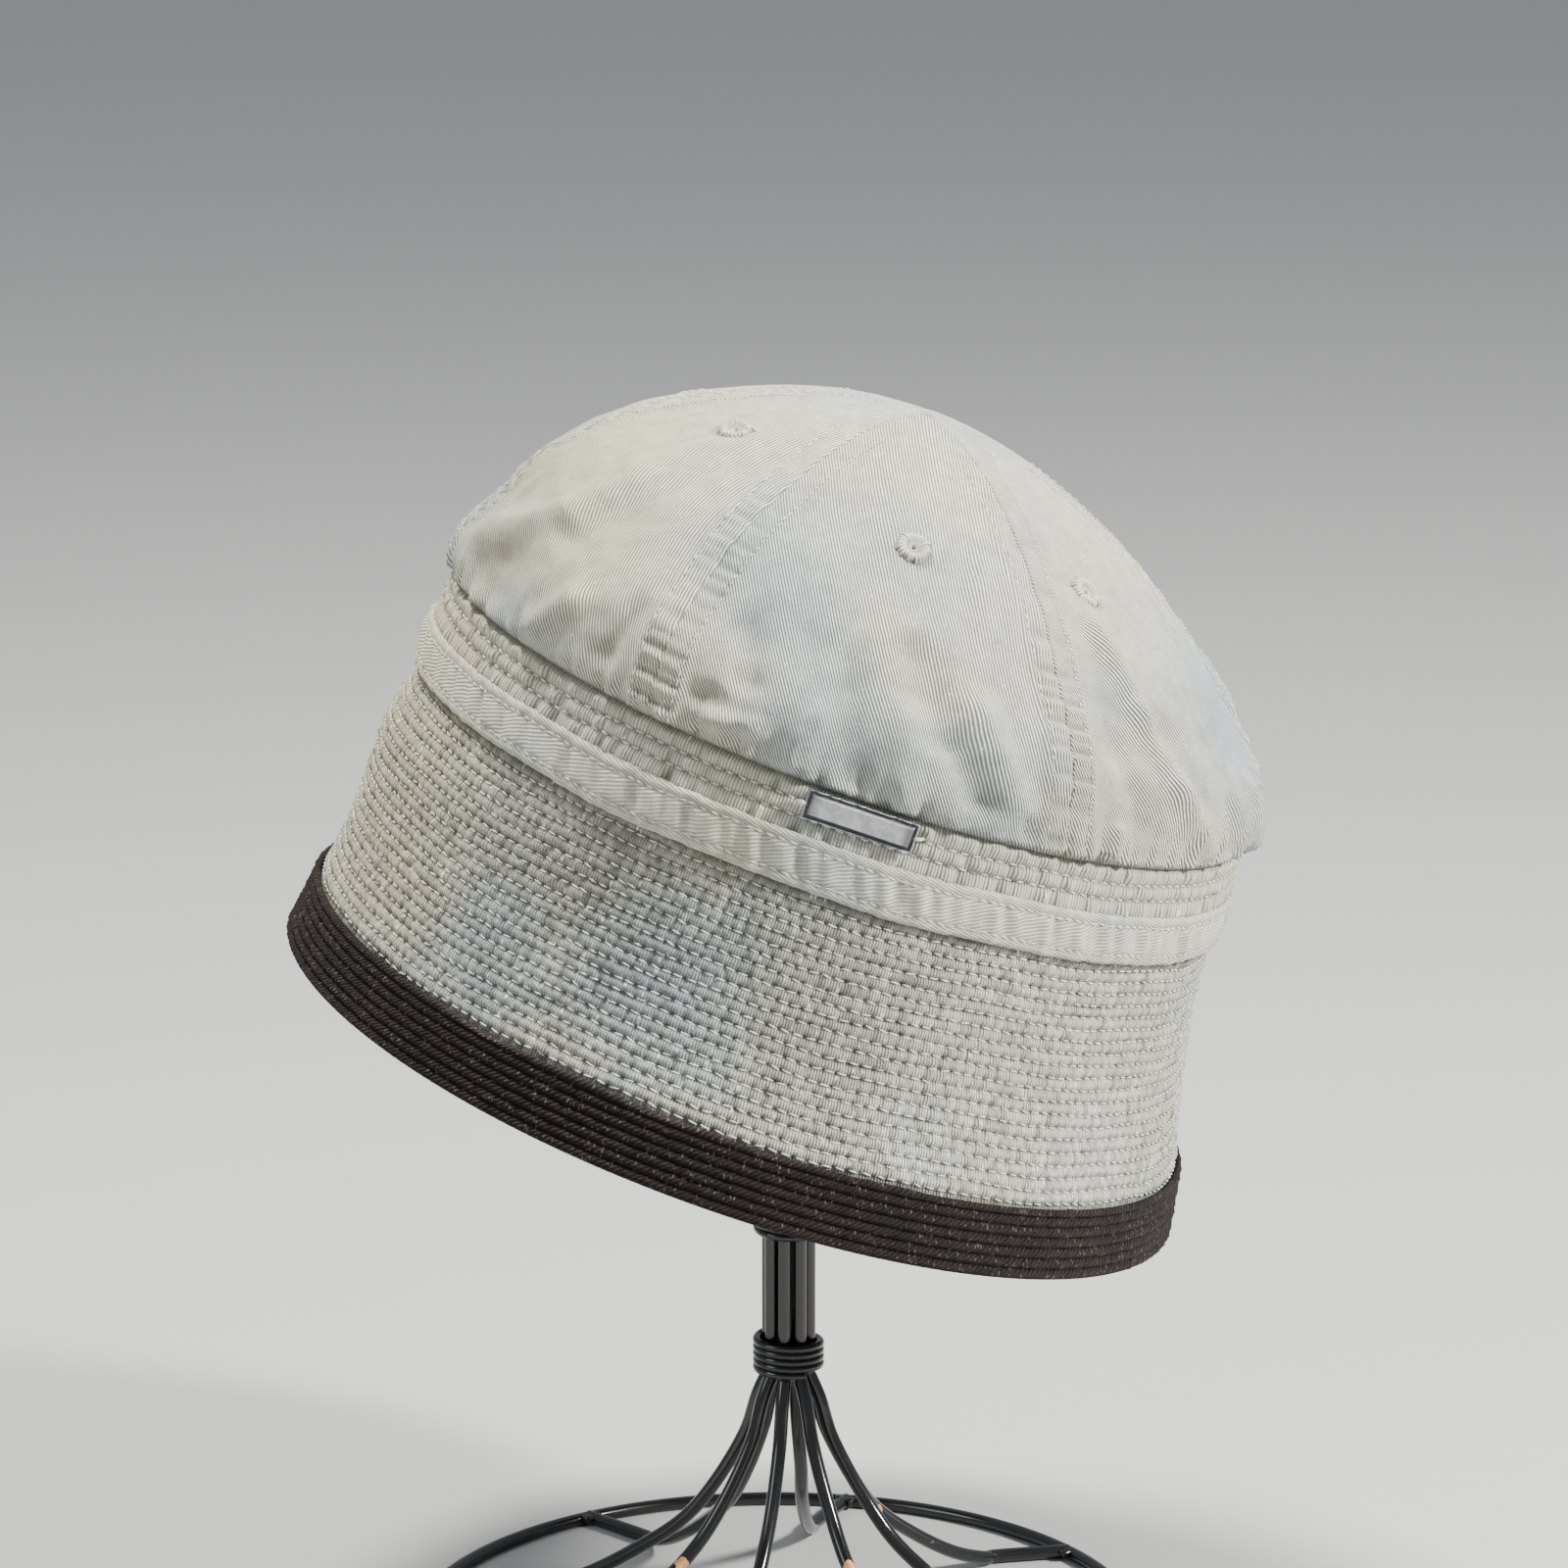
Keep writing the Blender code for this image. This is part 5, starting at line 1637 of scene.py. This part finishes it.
def wirePath(number):
    # ring joint, spoke, leg, neck and balloon head, as in the solids
    joint, ringPoint = jointPoint(number)
    floor = stand["wire"] / 2 + stand["footLift"]
    bend = legBends[number - 1]
    corners = [ringPoint, aroundNeck(joint + bend, stand["touchRadius"], floor)]
    reach = stand["touchRadius"] - neckRadius
    for out, up in reversed(legPath):
        turn = joint + bend * float(smoothStep(out / 0.5))
        corners.append(aroundNeck(turn, neckRadius + reach * out,
                                  floor + (stand["collarLow"] - floor) * up))
    neckTop = stand["collarHigh"] + stand["collarHeight"]
    neck = [aroundNeck(joint, neckRadius, level)
            for level in (stand["collarLow"] + stand["collarHeight"], stand["collarHigh"])]
    head = [aroundNeck(joint, neckRadius + (stand["headRadius"] - neckRadius) * out,
                       neckTop + (wireTop - neckTop) * up) for up, out in headPath]
    return [neckAxis + point
            for point in smoothPath(corners, legSteps) + neck + smoothPath(head, headSteps)]


# Bare copper-coloured places: wire number and share along its leg, size
enamelChips = [
    # wire, share, radius
    (6, 0.54, 2.7 * mm),
    (4, 0.56, 2.9 * mm),
    (2, 0.56, 2.0 * mm),
    (6, 0.13, 1.6 * mm),
    (7, 0.17, 1.5 * mm),
    (5, 0.10, 1.3 * mm),
    (5, 0.24, 1.1 * mm),
    (3, 0.21, 1.2 * mm),
    (1, 0.20, 1.6 * mm),
    (8, 0.16, 1.8 * mm),
]


def enamelMaterial():
    # glossy black enamel over wire, chipped to bare copper-coloured metal in places
    material, place = startMaterial("blackEnamel")
    chips = None
    for number, share, radius in enamelChips:
        spot = wirePath(number)[round(legSteps * (len(legPath) + 1) * share)]
        center = tuple(spot + Vector((0.0, -stand["wire"] / 2, 0.3 * mm)))
        mask = useGroup(softSpot, place, Center=center, Radius=radius, Ragged=1.5,
                        Noise_Scale=420.0)
        chips = chips.calc("MAXIMUM", mask) if chips else mask
    # fine specks near the floor
    small = place.noise(230.0, 5.0, 0.65).ramp(0.66, 0.70) * place.noise(26.0, 2.0).ramp(
        0.55, 0.62) * place.into("SeparateXYZ")["Z"].ramp(0.010, 0.030, 1.0, 0.0)
    bare = chips.ramp(0.35, 0.5).calc("MAXIMUM", small)
    metal = place.noise(900.0, 3.0, 0.6).mix((0.46, 0.17, 0.055), (0.84, 0.53, 0.28))
    dust = place.noise(60.0, 5.0, 0.7).ramp(0.45, 0.8, 0.0, 0.35)
    black = dust.mix((0.007, 0.007, 0.008), (0.028, 0.027, 0.026))
    gloss = place.noise(45.0, 4.0, 0.6).ramp(0.3, 0.75, 0.08, 0.27)
    return finishMaterial(material, place.noise(380.0, 3.0) * 0.35 - bare, 0.12 * mm, 0.5,
                          Base_Color=bare.mix(black, metal),
                          Roughness=bare.into("Mix", {"data_type": "FLOAT"}, i2=gloss, i3=0.55),
                          Metallic=bare * 0.55, Specular_IOR_Level=0.55)


blackEnamel = enamelMaterial()


def makeStand():
    for number in range(1, stand["wires"] + 1):
        ready(makeTube(wirePath(number), stand["wire"] / 2, 16), f"standWire{number}",
              blackEnamel, "black_enamel", f"stand_wire_{number}")
    ring = addShape(bpy.ops.mesh.primitive_torus_add, major_segments=180, minor_segments=20,
                    major_radius=stand["ringRadius"], minor_radius=stand["wire"] / 2,
                    location=neckAxis + Vector((-stand["ringShift"], 0.0, stand["wire"] / 2)))
    bpy.ops.object.transform_apply(location=True, rotation=False, scale=False)
    # its underside is worn flat where it stands
    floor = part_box("base_ring")[0][2]
    for vertex in ring.data.vertices:
        vertex.co.z = max(vertex.co.z - 0.12 * mm, floor)
    bpy.ops.object.shade_smooth()
    ready(ring, "baseRing", blackEnamel, "black_enamel", "base_ring")
    makeCollar("collarLower", "collar_lower", stand["collarLow"])
    makeCollar("collarUpper", "collar_upper", stand["collarHigh"])
    makeWelds()
    makeCap()


def makeCollar(name, node, level):
    # wire wound nearly five times round the neck
    pitch = stand["collarHeight"] / stand["collarTurns"]
    inner = neckRadius + stand["wire"] / 2 + 0.2 * mm
    thread = pitch / 2 * 1.04
    points = []
    steps = 48
    count = (stand["collarTurns"] - 0.35) * steps
    for step in range(int(count) + 1):
        turn = 360.0 * step / steps + 150.0
        height = level + pitch / 2 + (stand["collarHeight"] - pitch) * step / count
        wobble = 0.10 * mm * math.sin(math.radians(3 * turn) + level / mm)
        points.append(neckAxis + aroundNeck(turn, inner + thread * 0.85 + wobble, height))
    ready(makeTube(points, thread, 12), name, blackEnamel, "black_enamel", node)


def makeWelds():
    # small lumps of metal where the spokes meet the ring
    random = np.random.default_rng(9)
    lumps = []
    for number in range(1, stand["wires"] + 1):
        joint, point = jointPoint(number)
        for side in (-1, 1):
            lump = addShape(bpy.ops.mesh.primitive_uv_sphere_add, segments=16, ring_count=10,
                            radius=1.0)
            middle = (neckAxis + point + aroundNeck(joint, -2.0 * mm, 0.0)
                      + aroundNeck(joint + 90.0, side * 1.3 * mm, 0.35 * mm))
            phases = random.uniform(0.0, 6.28, 3)
            for vertex in lump.data.vertices:
                x, y, z = vertex.co
                swell = 1 + 0.22 * math.sin(3.1 * x + phases[0]) * math.cos(
                    2.7 * y + phases[1]) + 0.12 * math.sin(5.3 * z + phases[2])
                vertex.co = middle + Vector((x, y, 0.8 * z)) * stand["weld"] * swell
                vertex.co.z = max(vertex.co.z, 0.25 * mm)
            lumps.append(lump)
    selectOnly(lumps[0])
    for lump in lumps:
        lump.select_set(True)
    bpy.ops.object.join()
    bpy.ops.object.shade_smooth()
    ready(lumps[0], "ringWelds", blackEnamel, "black_enamel")


def makeCap():
    # pressed steel dome on the upper ends of the wires
    side = 0.25 * stand["capHeight"]
    middle = neckAxis + Vector((0.0, 0.0, capLow + side / 2))
    piece = addShape(bpy.ops.mesh.primitive_cylinder_add, vertices=48, location=middle,
                     radius=stand["capRadius"], depth=side)
    bpy.ops.object.transform_apply(location=True, rotation=False, scale=False)
    insetTop(piece, [(inset * stand["capRadius"], rise * stand["capHeight"])
                     for inset, rise in ((0.10, 0.37), (0.23, 0.20), (0.27, 0.12), (0.20, 0.04))])
    applyModifier(piece, "BEVEL", width=0.35 * mm, segments=3, limit_method="ANGLE",
                  angle_limit=math.radians(35))
    bpy.ops.object.shade_smooth_by_angle(angle=math.radians(40))
    ready(piece, "headCap", blackEnamel, "black_enamel", "head_cap")


makeStand()
print("stand made")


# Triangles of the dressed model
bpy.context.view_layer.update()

triangles = sum(len(face.vertices) - 2 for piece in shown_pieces() if piece.type == "MESH"
                for face in piece.data.polygons)
print("triangles", triangles)
